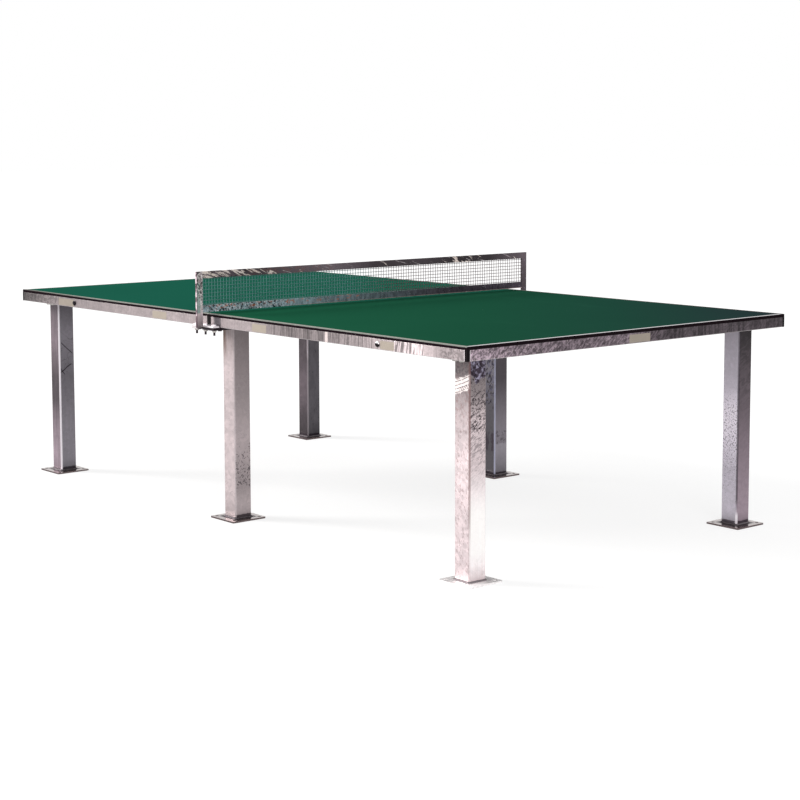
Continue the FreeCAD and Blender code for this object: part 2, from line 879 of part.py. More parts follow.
def build_halves():
    """Tops, rails, corner guards and cross members of both halves."""
    joint_end = half_gap + c.guard_side
    far_end = half_length - c.guard_side
    width_end = half_width - c.guard_side
    top_panel("top_panel_a", half_gap, 0)
    top_panel("top_panel_b", -half_gap, 180)
    side_rail("side_rail_front_a", True, joint_end, -half_width, 0)
    side_rail("side_rail_back_a", False, far_end, half_width, 180)
    side_rail("side_rail_front_b", False, -far_end, -half_width, 0)
    side_rail("side_rail_back_b", True, -joint_end, half_width, 180)
    end_rail("end_rail_a", half_length, -width_end, 90)
    end_rail("end_rail_b", -half_length, width_end, 270)
    joint_rail("joint_rail_a", half_gap, width_end, 270)
    joint_rail("joint_rail_b", -half_gap, -width_end, 90)
    guard = corner_guard("guard_master")
    for letter, side in (("a", 1), ("b", -1)):
        corner_guards(f"corner_guards_{letter}", guard, side)
        for bay in range(1, MEMBER_BAYS + 1):
            over_legs = bay == MEMBER_BAYS
            cross_member(f"cross_member_{letter}{bay}", side * leg_x * bay / MEMBER_BAYS, over_legs)


def build_net():
    """Posts, rails, mesh, and what carries them."""
    for where, side in (("front", -1), ("back", 1)):
        net_post(f"net_post_{where}", side)
        net_carrier(where, side)
    net_rail("net_top_rail", window_high, opens_up=False)
    net_rail("net_bottom_rail", lower_bar, opens_up=True)
    net_mesh("net_mesh")


def build_table():
    build_halves()
    for where, x, y in leg_centres():
        leg(where, x, y)
    build_net()
    large_nut = leg_fasteners()
    joint_fasteners(large_nut)
    small_nut = net_fasteners()
    side_fasteners(small_nut)
    panel_screws()


def check():
    """Stops the build at a failed object, or at a node that is empty or not valid."""
    for item in document.Objects:
        if "Invalid" in item.State or "Error" in item.State:
            raise RuntimeError(f"{item.Label} failed: {item.State}")
    for node in nodes:
        if node.Shape.isNull() or not node.Shape.isValid() or not node.Shape.Solids:
            raise RuntimeError(f"{node.Label} has no valid solid")


def write_nodes():
    """Writes each node's shape to its own file."""
    os.makedirs("parts", exist_ok=True)
    for node in nodes:
        node.Shape.exportStep(f"parts/{node.Label}.step")


build_table()
document.recompute()
check()
write_nodes()
print(f"{len(nodes)} nodes, {sum(len(node.Shape.Solids) for node in nodes)} solids")
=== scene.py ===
"""Looks, light and camera of an outdoor table-tennis table with galvanised legs, frame and net."""

import math

import bmesh
import bpy
from mathutils import Matrix, Vector


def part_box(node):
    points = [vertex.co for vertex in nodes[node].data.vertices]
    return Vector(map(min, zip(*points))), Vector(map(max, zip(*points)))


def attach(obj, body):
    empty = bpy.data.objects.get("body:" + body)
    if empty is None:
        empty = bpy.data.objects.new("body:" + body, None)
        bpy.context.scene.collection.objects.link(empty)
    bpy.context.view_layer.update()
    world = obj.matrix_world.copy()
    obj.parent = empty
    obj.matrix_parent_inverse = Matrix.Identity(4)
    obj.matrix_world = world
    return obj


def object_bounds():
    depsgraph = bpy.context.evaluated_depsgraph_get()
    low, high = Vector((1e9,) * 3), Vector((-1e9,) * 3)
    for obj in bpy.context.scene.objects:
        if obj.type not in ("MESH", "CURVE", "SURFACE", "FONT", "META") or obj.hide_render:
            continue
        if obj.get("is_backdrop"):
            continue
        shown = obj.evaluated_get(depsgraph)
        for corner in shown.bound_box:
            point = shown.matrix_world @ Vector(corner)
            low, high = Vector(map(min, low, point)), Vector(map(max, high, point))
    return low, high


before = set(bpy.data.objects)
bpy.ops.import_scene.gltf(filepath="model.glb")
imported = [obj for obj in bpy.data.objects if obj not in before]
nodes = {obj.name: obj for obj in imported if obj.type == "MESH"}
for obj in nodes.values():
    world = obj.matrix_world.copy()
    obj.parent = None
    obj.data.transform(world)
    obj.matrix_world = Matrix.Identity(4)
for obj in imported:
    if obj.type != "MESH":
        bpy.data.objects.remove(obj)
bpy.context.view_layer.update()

BODY = "root"
HALF_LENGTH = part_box("top_panel_a")[1].x
HALF_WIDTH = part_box("top_panel_a")[1].y
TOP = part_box("top_panel_a")[1].z
PANEL_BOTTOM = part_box("top_panel_a")[0].z
FRAME_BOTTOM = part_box("side_rail_front_a")[0].z


def srgb(red, green, blue):
    """A colour given in 0 to 255 steps, as the linear numbers that a shader takes."""
    def line(c):
        c /= 255
        return c / 12.92 if c <= 0.04045 else ((c + 0.055) / 1.055) ** 2.4

    return (line(red), line(green), line(blue), 1.0)


class Graph:
    """A material's node tree, with one short call for each kind of node."""

    def __init__(self, name):
        self.material = bpy.data.materials.new(name)
        self.material.use_nodes = True
        self.tree = self.material.node_tree
        self.tree.nodes.clear()
        self.shader = self.tree.nodes.new("ShaderNodeBsdfPrincipled")
        output = self.tree.nodes.new("ShaderNodeOutputMaterial")
        self.tree.links.new(self.shader.outputs["BSDF"], output.inputs["Surface"])
        where = self.tree.nodes.new("ShaderNodeTexCoord")
        self.place = where.outputs["Object"]
        self.x, self.y, self.z = self.split(self.place)
        self.nx, self.ny, self.nz = self.split(where.outputs["Normal"])

    def put(self, socket, value):
        """Links a socket, or sets it when value is a number or a tuple."""
        if isinstance(value, bpy.types.NodeSocket):
            self.tree.links.new(value, socket)
        elif socket.type == "VECTOR" and isinstance(value, tuple):
            socket.default_value = value[:3]
        else:
            socket.default_value = value

    def node(self, kind, inputs, **settings):
        made = self.tree.nodes.new("ShaderNode" + kind)
        for key, value in settings.items():
            setattr(made, key, value)
        for key, value in inputs.items():
            self.put(made.inputs[key], value)
        return made

    def split(self, vector):
        return self.node("SeparateXYZ", {0: vector}).outputs[:]

    def math(self, operation, a, b=0.0):
        return self.node("Math", {0: a, 1: b}, operation=operation).outputs[0]

    def times(self, a, b):
        return self.math("MULTIPLY", a, b)

    def plus(self, a, b):
        return self.math("ADD", a, b)

    def minus(self, a, b):
        return self.math("SUBTRACT", a, b)

    def about(self, value, amount):
        """1 plus a 0-to-1 pattern that is centred and scaled to this amount."""
        return self.plus(self.times(value, amount), 1 - amount / 2)

    def span(self, value, low, high, first=0.0, last=1.0, smooth=True):
        """Value's way from low to high, as first to last."""
        kind = "SMOOTHSTEP" if smooth else "LINEAR"
        inputs = {0: value, 1: low, 2: high, 3: first, 4: last}
        return self.node("MapRange", inputs, interpolation_type=kind).outputs[0]

    def inside(self, value, low, high, soft):
        """1 between low and high, fading over soft at each side."""
        rise = self.span(value, low - soft, low + soft)
        fall = self.span(value, high - soft, high + soft, 1.0, 0.0)
        return self.times(rise, fall)

    def mix(self, share, a, b, blend="MIX"):
        made = self.node("Mix", {0: share, 6: a, 7: b}, data_type="RGBA", blend_type=blend)
        return made.outputs[2]

    def lay(self, tone, pattern, strength, colour):
        """A tone with a colour laid over it where a pattern is 1."""
        return self.mix(self.times(pattern, strength), tone, colour)

    def shade(self, colour, factor):
        """A colour times a number from a socket."""
        made = self.node("VectorMath", {0: colour}, operation="SCALE")
        self.put(made.inputs["Scale"], factor)
        return made.outputs[0]

    def stretch(self, by, turn=(0.0, 0.0, 0.0)):
        """The object's coordinates, turned and then stretched by these three factors."""
        inputs = {"Vector": self.place, "Rotation": turn, "Scale": tuple(1 / n for n in by)}
        return self.node("Mapping", inputs, vector_type="TEXTURE").outputs[0]

    def noise(self, scale, detail=2.0, rough=0.5, twist=0.0, where=None):
        inputs = {
            "Vector": self.place if where is None else where,
            "Scale": scale,
            "Detail": detail,
            "Roughness": rough,
            "Distortion": twist,
        }
        return self.node("TexNoise", inputs).outputs["Fac"]

    def streaks(self, by, low, high, turn=(0.0, 0.0, 0.0), detail=3.0, rough=0.6, twist=0.0):
        """A stretched noise, 0 to 1 between two of its levels. by is its marks per metre each way."""
        return self.span(self.noise(1.0, detail, rough, twist, self.stretch(by, turn)), low, high)

    def blots(self, by, edge, amount=1.0, turn=(0.0, 0.0, 0.0), detail=3.0, rough=0.65, twist=0.0):
        """Spots where a stretched noise passes edge. A smaller amount, down to 0, lets fewer through."""
        value = self.noise(1.0, detail, rough, twist, self.stretch(by, turn))
        value = self.plus(value, self.times(self.minus(amount, 1.0), 0.24))
        return self.span(value, edge - 0.018, edge + 0.018)

    def curls(self, by, width, turn=(0.0, 0.0, 0.0), twist=1.0):
        """Thin winding lines, 1 on a line."""
        value = self.noise(1.0, 2.0, 0.5, twist, self.stretch(by, turn))
        off = self.math("ABSOLUTE", self.minus(value, 0.5))
        return self.span(off, 0.0, width, 1.0, 0.0)

    def swing(self, pattern, strength):
        """1 plus a centred 0-to-1 pattern times a strength."""
        return self.plus(1.0, self.centred(pattern, strength))

    def comb(self, value, pitch, share):
        """Parallel lines across a length, one in each pitch. share is a line's part of the pitch."""
        way = self.math("FRACT", self.times(value, 1 / pitch))
        return self.inside(way, 0.5 - share / 2, 0.5 + share / 2, share / 5)

    def centred(self, pattern, strength):
        """A 0-to-1 pattern, centred on 0 and scaled."""
        return self.times(self.minus(pattern, 0.5), strength)

    def square(self, value):
        return self.times(value, value)

    def warped(self, scale, amount):
        """The object's coordinates, pushed about by a noise of this scale, by up to amount metres."""
        push = self.node("TexNoise", {"Vector": self.place, "Scale": scale, "Detail": 2.0})
        centred = self.node(
            "VectorMath", {0: push.outputs["Color"], 1: (0.5, 0.5, 0.5)}, operation="SUBTRACT"
        )
        moved = self.shade(centred.outputs[0], amount * 2)
        return self.node("VectorMath", {0: self.place, 1: moved}, operation="ADD").outputs[0]

    def cells(self, scale, where=None):
        inputs = {"Vector": self.place if where is None else where, "Scale": scale}
        return self.node("TexVoronoi", inputs)

    def cell_values(self, scale, where=None):
        """One random number from 0 to 1 for each cell."""
        made = self.cells(scale, where)
        return self.node("SeparateColor", {0: made.outputs["Color"]}).outputs[0]

    def ramp(self, value, stops, low=0.0, high=1.0):
        """Colours along a value that runs from low to high. Each stop is (value, colour)."""
        made = self.node("ValToRGB", {0: self.span(value, low, high, smooth=False)})
        slots = made.color_ramp.elements
        for i, (at, colour) in enumerate(stops):
            at = (at - low) / (high - low)
            slot = slots[i] if i < 2 else slots.new(at)
            slot.position, slot.color = at, colour
        return made.outputs["Color"]

    def amount(self, value, stops):
        """A number from 0 to 1 along a value. Each stop is (value, number)."""
        return self.ramp(value, [(at, (n, n, n, 1.0)) for at, n in stops], stops[0][0], stops[-1][0])

    def bump(self, height, strength, distance):
        inputs = {"Height": height, "Strength": strength, "Distance": distance}
        self.put(self.shader.inputs["Normal"], self.node("Bump", inputs).outputs[0])

    def finish(self, colour, roughness, metallic=0.0, specular=0.5):
        self.put(self.shader.inputs["Base Color"], colour)
        self.put(self.shader.inputs["Roughness"], roughness)
        self.shader.inputs["Metallic"].default_value = metallic
        self.shader.inputs["Specular IOR Level"].default_value = specular
        return self.material


# ---------------------------------------------------------------- the playing surface

LINE_WIDTH = 0.0145
ARRIS = 0.0026


def panel_material():
    """Green resin laminate with a white line along its outer edges and black cut edges."""
    g = Graph("green_laminate")
    # Painted shade: the half at +X darkens along the diagonal towards its +X+Y corner.
    diagonal = g.plus(g.x, g.y)
    near = g.ramp(
        diagonal,
        [
            (-0.6, srgb(28, 88, 63)),
            (0.6, srgb(27, 77, 57)),
            (1.3, srgb(30, 68, 56)),
            (2.1, srgb(38, 50, 54)),
        ],
        -1.0,
        2.2,
    )
    far = srgb(28, 90, 73)
    green = g.mix(g.span(g.x, -0.02, 0.02), far, near)
    cloud = g.noise(2.4, 4.0, 0.6)
    green = g.shade(green, g.about(cloud, 0.10))
    # Painted light: a strip beside the net at +X is made 8 % paler, where the net's shadow falls on it.
    green = g.shade(green, g.plus(1.0, g.times(g.inside(g.x, 0.0, 0.14, 0.04), 0.08)))
    green = g.shade(green, g.about(g.noise(420.0, 2.0), 0.10))
    # Rubbed streaks of play, a little paler, across the length.
    rubbed = g.span(g.noise(3.0, 5.0, 0.6, 0.4, g.stretch((0.6, 3.0, 1.0))), 0.56, 0.78)
    green = g.lay(green, rubbed, 0.05, srgb(60, 120, 96))
    # Pale specks in a few of the cells.
    dots = g.cells(14.0)
    few = g.math("GREATER_THAN", g.node("SeparateColor", {0: dots.outputs["Color"]}).outputs[1], 0.80)
    speck = g.times(g.span(dots.outputs["Distance"], 0.018, 0.036, 1.0, 0.0), few)
    green = g.lay(green, speck, 0.55, srgb(150, 190, 165))
    # The white line, worn and dusty.
    edge_x = g.minus(HALF_LENGTH, g.math("ABSOLUTE", g.x))
    edge_y = g.minus(HALF_WIDTH, g.math("ABSOLUTE", g.y))
    edge = g.math("MINIMUM", edge_x, edge_y)
    wear = g.noise(60.0, 4.0, 0.7)
    by_end = g.span(g.minus(edge_y, edge_x), -0.001, 0.001)
    line = g.shade(g.mix(by_end, srgb(158, 160, 154), srgb(205, 204, 206)), g.about(wear, 0.5))
    ragged = g.plus(edge, g.centred(wear, 0.0012))
    painted = g.span(ragged, LINE_WIDTH - 0.0006, LINE_WIDTH + 0.0006, 1.0, 0.0)
    dirt = g.inside(edge, LINE_WIDTH + 0.001, LINE_WIDTH + 0.005, 0.002)
    top = g.lay(green, dirt, 0.35, srgb(20, 48, 36))
    worn_end = g.times(g.span(g.x, -1.33, -1.10, 0.8, 0.0), g.span(edge_y, 0.004, 0.008, 1.0, 0.0))
    far_side = g.times(g.span(g.x, 0.6, 1.1, 0.45, 0.85), g.span(g.y, 0.740, 0.748))
    wear_and_glare = g.math("MAXIMUM", worn_end, far_side)
    top = g.mix(painted, top, g.mix(wear_and_glare, line, srgb(60, 48, 50)))
    # Cut edges: black core. On the long sides a painted highlight, in the line's colour, runs along the
    # rounded top arris and fades out towards -X.
    core = g.shade(srgb(32, 23, 28), g.about(g.noise(90.0, 3.0), 0.7))
    long_side = g.math("POWER", g.ny, 2.0)
    arris_highlight = g.times(g.span(g.z, TOP - ARRIS - 0.0008, TOP - ARRIS + 0.0008), long_side)
    arris_highlight = g.times(arris_highlight, g.span(g.x, -1.20, -0.60, 0.1, 0.85))
    side = g.mix(arris_highlight, core, line)
    facing_up = g.span(g.nz, 0.5, 0.8)
    colour = g.mix(facing_up, side, top)
    g.bump(g.noise(900.0, 2.0, 0.5), 0.05, 0.0004)
    return g.finish(colour, g.span(cloud, 0.3, 0.7, 0.52, 0.68), 0.0, 0.0)


# ---------------------------------------------------------------- galvanised steel

# Named brightnesses, from 0 to 255, and colour casts for the zinc's tone ramps. The ramps hold painted
# light, shade and reflection besides the zinc's own tone, and the casts are those of the reflections.
GLARE, BRIGHT, PALE, LIGHT, MID, DULL, DUSK, DARK, BLACK = 252, 206, 184, 158, 140, 116, 95, 70, 50
WARM, COOL = (1.04, 0.97, 0.98), (1.00, 0.965, 1.02)
PLUM, SKY = (1.05, 0.94, 1.01), (0.90, 1.00, 1.06)


def toned(cast, stops):
    """A ramp's stops, from one cast and a list of (place, brightness)."""
    return [(at, srgb(*(min(255, level * c) for c in cast))) for at, level in stops]


def galvanised(
    name,
    front,
    end,
    run,
    marks=None,
    spangle=(85.0, 0.16),
    cloudy=0.20,
    metallic=0.6,
):
    """Hot-dip galvanised steel, with light, shade and reflection painted into its colour. front colours
    the faces that look along Y, and end those along X, so lit and shaded faces each get their own
    painted tones. run says what the stops are along: "z", or "xy" for rails, whose front runs along X
    and end along Y.
    marks adds what only this piece has. spangle is the zinc crystals' number per metre and contrast."""
    g = Graph(name)
    if run == "z":
        front_at = end_at = g.z
        reach = ((0.0, FRAME_BOTTOM),) * 2
    else:
        front_at, end_at = g.x, g.y
        reach = ((-HALF_LENGTH, HALF_LENGTH), (-HALF_WIDTH, HALF_WIDTH))
    front_tone = g.ramp(front_at, toned(*front), *reach[0])
    end_tone = g.ramp(end_at, toned(*end), *reach[1])
    tone = g.mix(g.square(g.nx), front_tone, end_tone)
    # Zinc crystals, clouds and grain.
    crystals = g.cell_values(spangle[0], g.warped(30.0, 0.004))
    cloud = g.noise(11.0, 5.0, 0.6)
    grain = g.noise(330.0, 3.0, 0.6)
    light = g.times(g.about(crystals, spangle[1]), g.about(cloud, cloudy))
    tone = g.shade(tone, g.times(light, g.about(grain, 0.26)))
    if marks:
        tone = marks(g, tone)
    height = g.plus(g.times(crystals, 0.5), g.plus(g.times(grain, 0.35), cloud))
    g.bump(height, 0.22, 0.0012)
    rough = g.span(g.plus(cloud, g.times(crystals, 0.3)), 0.4, 0.9, 0.36, 0.54)
    return g.finish(tone, rough, metallic, 0.2)


# The long sides are dark at the far end and brightest near the nearest corner: painted light and
# reflection over the zinc's own tone.
FRONT_RAIL = (
    WARM,
    [(-1.35, DARK), (-1.15, DULL), (-0.90, MID), (-0.20, LIGHT), (0.25, LIGHT), (0.45, DULL),
     (0.65, DULL), (0.85, MID), (1.05, PALE), (1.20, PALE), (1.27, MID), (1.35, LIGHT)],
)
# The ends darken from the front corner to the middle, and stay dark to the back: painted shade and
# reflection over the zinc's own tone.
END_RAIL = (PLUM, [(-0.75, LIGHT), (-0.50, DULL), (-0.05, DULL), (0.15, DARK), (0.75, DARK)])


# Where marks and the painted post shadow on the long sides start and end along x.
POST_SHADOW = (0.032, 0.073)
BRIGHT_BAR = (0.675, 0.689)
BARS = (1.02, 1.17)
GUARD_SIDE = HALF_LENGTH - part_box("side_rail_front_a")[1].x


def rail_marks(g, tone):
    """Run marks of the zinc: upright streaks on the long sides, and winding ones on the ends. Also
    painted light and shade: the near post's shadow, a highlight on the lower edge and shade on the upper
    bend.
    """
    fine = g.streaks((220.0, 220.0, 8.0), 0.38, 0.62, (0.0, 0.06, 0.0), 2.0)
    fine_amount = g.amount(
        g.x,
        [(-1.37, 0.10), (0.36, 0.10), (0.42, 0.95), (0.66, 0.90), (0.72, 0.75), (0.92, 0.70),
         (0.96, 0.40), (1.07, 0.45), (1.10, 0.25), (1.25, 0.15), (1.37, 0.20)],
    )
    bars = g.streaks((118.0, 118.0, 14.0), 0.43, 0.57, (0.0, 0.14, 0.0), 1.5, 0.5, 0.6)
    bars_amount = g.inside(g.x, BARS[0], BARS[1], 0.012)
    mottle = g.streaks((48.0, 48.0, 62.0), 0.43, 0.57, (0.5, 0.0, 0.0), 3.0, 0.6, 1.8)
    ends = g.amount(
        g.x, [(-1.37, 0.75), (-1.10, 0.55), (-1.02, 0.12), (1.24, 0.15), (1.27, 0.55), (1.37, 0.50)]
    )
    front = g.times(g.swing(fine, fine_amount), g.swing(bars, bars_amount))
    front = g.times(front, g.swing(mottle, ends))
    # The end rail: winding marks near the front corner that calm down towards the back.
    wound = g.amount(
        g.y, [(-0.77, 1.0), (-0.42, 0.70), (-0.30, 0.50), (-0.05, 0.45), (0.15, 0.35), (0.77, 0.50)]
    )
    slant = g.streaks((40.0, 40.0, 150.0), 0.38, 0.62, (0.7, 0.0, 0.0))
    slant_amount = g.amount(
        g.y, [(-0.77, 0.5), (-0.45, 0.7), (-0.38, 1.0), (0.10, 1.0), (0.20, 0.4), (0.77, 0.3)]
    )
    upright = g.streaks((90.0, 90.0, 9.0), 0.40, 0.60)
    upright_amount = g.amount(
        g.y,
        [(-0.77, 0.0), (-0.40, 0.0), (-0.36, 0.6), (-0.27, 0.6), (-0.22, 0.1), (0.10, 0.1), (0.18, 0.85),
         (0.45, 0.75), (0.77, 0.35)],
    )
    end = g.times(g.swing(mottle, wound), g.swing(slant, slant_amount))
    end = g.times(end, g.swing(upright, upright_amount))
    on_end = g.square(g.nx)
    tone = g.shade(tone, g.mix(on_end, front, end))
    few = g.amount(g.y, [(-0.77, 1.0), (-0.20, 0.8), (0.10, 0.35), (0.77, 0.30)])
    pale = g.times(g.blots((110.0, 110.0, 110.0), 0.62, few), on_end)
    tone = g.mix(g.times(pale, g.span(g.y, -0.2, 0.1, 0.5, 0.35)), tone, srgb(226, 208, 210))
    # A narrow bright bar, and a painted shadow of the near post: a dull grey patch on the front face
    # beside it.
    bar = g.times(g.inside(g.x, *BRIGHT_BAR, 0.001), g.square(g.ny))
    tone = g.lay(tone, bar, 0.9, srgb(224, 210, 208))
    low, high = POST_SHADOW
    post_shadow = g.times(g.inside(g.x, low, high, 0.0016), g.span(g.ny, -0.9, -0.5, 1.0, 0.0))
    tone = g.lay(tone, post_shadow, 0.72, srgb(84, 82, 90))
    # Pale cut ends beside the black guards, a pale lower edge that is a painted highlight on the lower
    # bend, and a dark upper bend that is painted shade under the panel.
    gap = g.minus(HALF_LENGTH - GUARD_SIDE, g.math("ABSOLUTE", g.x))
    gap = g.mix(on_end, gap, g.minus(HALF_WIDTH - GUARD_SIDE, g.math("ABSOLUTE", g.y)))
    cut = g.times(g.span(gap, 0.0022, 0.0042, 0.7, 0.0), g.span(g.minus(g.x, g.y), 1.6, 2.0))
    tone = g.mix(cut, tone, srgb(228, 218, 222))
    rim = g.span(g.z, FRAME_BOTTOM + 0.0012, FRAME_BOTTOM + 0.0030, 0.4, 0.0)
    tone = g.mix(rim, tone, srgb(215, 208, 210))
    return g.shade(tone, g.span(g.nz, 0.1, 0.5, 1.0, 0.2))


# For each leg, the faces that look along Y and those that look along X, from the floor up. The tones are
# largely painted light, shade and reflection: lit and shaded faces, glare, shade under the frame, and
# shade on legs under the table.
LEG_TONES = {
    # The nearest leg is the brightest, and its side has painted white glare below the middle.
    "front_a": (
        (WARM, [(0.0, BRIGHT), (0.42, BRIGHT), (0.50, PALE), (0.60, MID), (0.68, DULL)]),
        (WARM, [(0.0, BRIGHT), (0.06, GLARE), (0.22, GLARE), (0.38, BRIGHT), (0.52, BRIGHT),
                (0.60, MID), (0.69, DULL)]),
    ),
    "front_middle": (
        (WARM, [(0.0, LIGHT), (0.10, PALE), (0.58, PALE), (0.69, LIGHT)]),
        (WARM, [(0.0, LIGHT), (0.06, PALE), (0.12, LIGHT), (0.30, PALE), (0.45, LIGHT), (0.69, MID)]),
    ),
    # The far leg has a dark band across the middle of its narrow face.
    "front_b": (
        (PLUM, [(0.0, DULL), (0.08, MID), (0.20, DULL), (0.30, DARK), (0.40, DARK), (0.55, DULL),
                (0.69, DUSK)]),
        (COOL, [(0.0, DULL), (0.06, MID), (0.20, MID), (0.40, DULL), (0.58, MID), (0.69, DULL)]),
    ),
    "back_a": (
        (COOL, [(0.0, LIGHT), (0.06, BRIGHT), (0.20, BRIGHT), (0.35, GLARE), (0.42, GLARE),
                (0.50, BRIGHT), (0.69, PALE)]),
        (PLUM, [(0.0, MID), (0.06, LIGHT), (0.20, MID), (0.35, DULL), (0.45, DUSK), (0.60, DARK),
                (0.69, BLACK)]),
    ),
    "back_middle": (
        (COOL, [(0.0, DUSK), (0.15, DUSK), (0.30, DULL), (0.45, LIGHT)]),
        (COOL, [(0.0, DULL), (0.12, LIGHT), (0.22, LIGHT), (0.40, DUSK)]),
    ),
    "back_b": (
        (PLUM, [(0.0, BLACK), (0.10, DARK), (0.20, DUSK), (0.45, DARK)]),
        (COOL, [(0.0, DARK), (0.10, DUSK)]),
    ),
}


LEG_CORNER = 0.005
LEG_HALF = (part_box("leg_front_a")[1].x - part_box("leg_front_a")[0].x) / 2
SLANT = 0.62
DARK_ZINC = srgb(52, 45, 52)
# Colour of the painted highlight lines on the legs' corners.
CORNER_HIGHLIGHT = srgb(232, 226, 232)


def corner_reflection_line(g, place, stops, width, tone, colour):
    """A painted reflection line down the leg's corner that faces +X and -Y: pale lines are painted
    highlights and dark lines dark reflections, in the colour given. stops give its strength along z.
    """
    low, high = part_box("leg_" + place)
    # At a sharp corner this would be the leg's full side.
    reach = g.plus(g.minus(g.x, g.y), (low.y + high.y) / 2 - (low.x + high.x) / 2)
    corner = 2 * LEG_HALF - 0.0042
    line = g.span(reach, corner - width - 0.0008, corner - width + 0.0008)
    return g.mix(g.times(line, g.amount(g.z, stops)), tone, colour)


def leg_foot_shade(g, tone, top, strength=0.85):
    """Painted shade: a dark band on the lowest part of a leg, where it stands on its plate."""
    edge = g.plus(g.z, g.centred(g.noise(60.0, 3.0), 0.008))
    return g.mix(g.span(edge, top - 0.002, top + 0.002, strength, 0.0), tone, srgb(34, 24, 34))


def near_leg_marks(g, tone):
    front, end = g.square(g.ny), g.square(g.nx)
    few = g.amount(g.z, [(0.0, 0.80), (0.25, 0.80), (0.50, 0.85), (0.58, 0.95), (0.71, 0.8)])
    fleck = g.blots((230.0, 230.0, 90.0), 0.545, few, (0.0, -0.4, 0.0))
    tone = g.lay(tone, g.times(fleck, front), 0.50, srgb(140, 112, 112))
    # The side face: fine slanting strokes, then dots and bold strokes, then a dark frosted band under
    # the frame, which is painted shade with a frosted zinc texture.
    fine = g.amount(
        g.z,
        [(0.0, 0.0), (0.25, 0.0), (0.32, 0.25), (0.38, 0.55), (0.45, 0.85), (0.50, 0.80), (0.56, 0.50),
         (0.71, 0.2)],
    )
    stroke = g.streaks((70.0, 70.0, 300.0), 0.50, 0.58, (SLANT, 0.0, 0.0), 2.0)
    tone = g.lay(tone, g.times(g.times(stroke, fine), end), 0.62, DARK_ZINC)
    bold = g.amount(
        g.z, [(0.0, 0.0), (0.38, 0.0), (0.44, 0.45), (0.49, 1.0), (0.58, 1.0), (0.62, 0.8), (0.71, 0.8)]
    )
    dots = g.blots((130.0, 130.0, 130.0), 0.565, bold, twist=0.5)
    tone = g.lay(tone, g.times(dots, end), 0.85, srgb(44, 34, 40))
    dash = g.blots((46.0, 46.0, 200.0), 0.575, bold, (SLANT, 0.0, 0.0), twist=0.5)
    tone = g.lay(tone, g.times(dash, end), 0.8, srgb(40, 30, 38))
    blotch = g.noise(30.0, 4.0, 0.7, 0.6)
    frost = g.cell_values(105.0, g.warped(40.0, 0.010))
    frosted_shade = g.mix(g.span(frost, 0.2, 0.9), srgb(56, 46, 60), srgb(156, 150, 172))
    black = g.blots((85.0, 85.0, 85.0), 0.51, twist=0.8)
    frosted_shade = g.mix(g.times(black, 0.8), frosted_shade, srgb(22, 14, 24))
    low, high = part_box("leg_front_a")
    beside = g.math("ABSOLUTE", g.minus(g.y, (low.y + high.y) / 2))
    edge = g.plus(g.z, g.centred(blotch, 0.08))
    edge = g.minus(edge, g.times(beside, 0.7))
    dark = g.times(g.span(edge, 0.628, 0.638), end)
    tone = g.lay(tone, dark, 0.92, frosted_shade)
    # A bright patch on the front face, a painted reflection, crossed by rising dark lines and a short
    # ladder of strokes.
    climb = g.minus(g.z, g.times(g.minus(g.x, low.x), 0.36))
    ragged = g.plus(climb, g.centred(blotch, 0.045))
    wear_and_glare = g.times(g.inside(ragged, 0.592, 0.637, 0.003), front)
    tone = g.lay(tone, wear_and_glare, 0.85, srgb(250, 240, 238))
    wavy = g.plus(climb, g.centred(g.noise(26.0, 2.0), 0.008))
    lines = None
    for height in (0.5960, 0.6075, 0.6180, 0.6295):
        line = g.inside(wavy, height - 0.0013, height + 0.0013, 0.0005)
        lines = line if lines is None else g.math("MAXIMUM", lines, line)
    rungs = g.comb(g.plus(g.x, g.times(g.z, 0.5)), 0.0105, 0.4)
    rungs = g.times(rungs, g.inside(climb, 0.598, 0.607, 0.001))
    rungs = g.times(rungs, g.span(g.x, low.x + 0.020, low.x + 0.026))
    broken = g.streaks((120.0, 120.0, 120.0), 0.36, 0.50)
    scratch = g.math("MAXIMUM", g.times(lines, broken), rungs)
    tone = g.lay(tone, g.times(scratch, wear_and_glare), 0.85, srgb(60, 44, 48))
    # Painted shade: dark blots at the top of the front face, above the bright patch, where the frame's
    # shadow falls.
    frame_shadow_blots = g.times(g.times(g.span(climb, 0.640, 0.648), front), g.blots((110.0, 110.0, 110.0), 0.53))
    tone = g.lay(tone, frame_shadow_blots, 0.5, srgb(70, 62, 68))
    pale = g.times(g.streaks((120.0, 120.0, 4.0), 0.35, 0.60), g.span(g.z, 0.20, 0.36, 0.16, 0.0))
    tone = g.mix(g.times(pale, end), tone, srgb(206, 178, 172))
    glare = g.amount(
        g.z, [(0.0, 0.0), (0.04, 0.1), (0.10, 0.8), (0.22, 0.8), (0.30, 0.2), (0.36, 0.0), (0.71, 0.0)]
    )
    tone = g.mix(g.times(glare, end), tone, srgb(255, 254, 252))
    line = [(0.0, 0.15), (0.14, 0.25), (0.22, 0.55), (0.50, 0.75), (0.71, 0.5)]
    return corner_reflection_line(g, "front_a", line, 0.0006, tone, srgb(122, 92, 90))


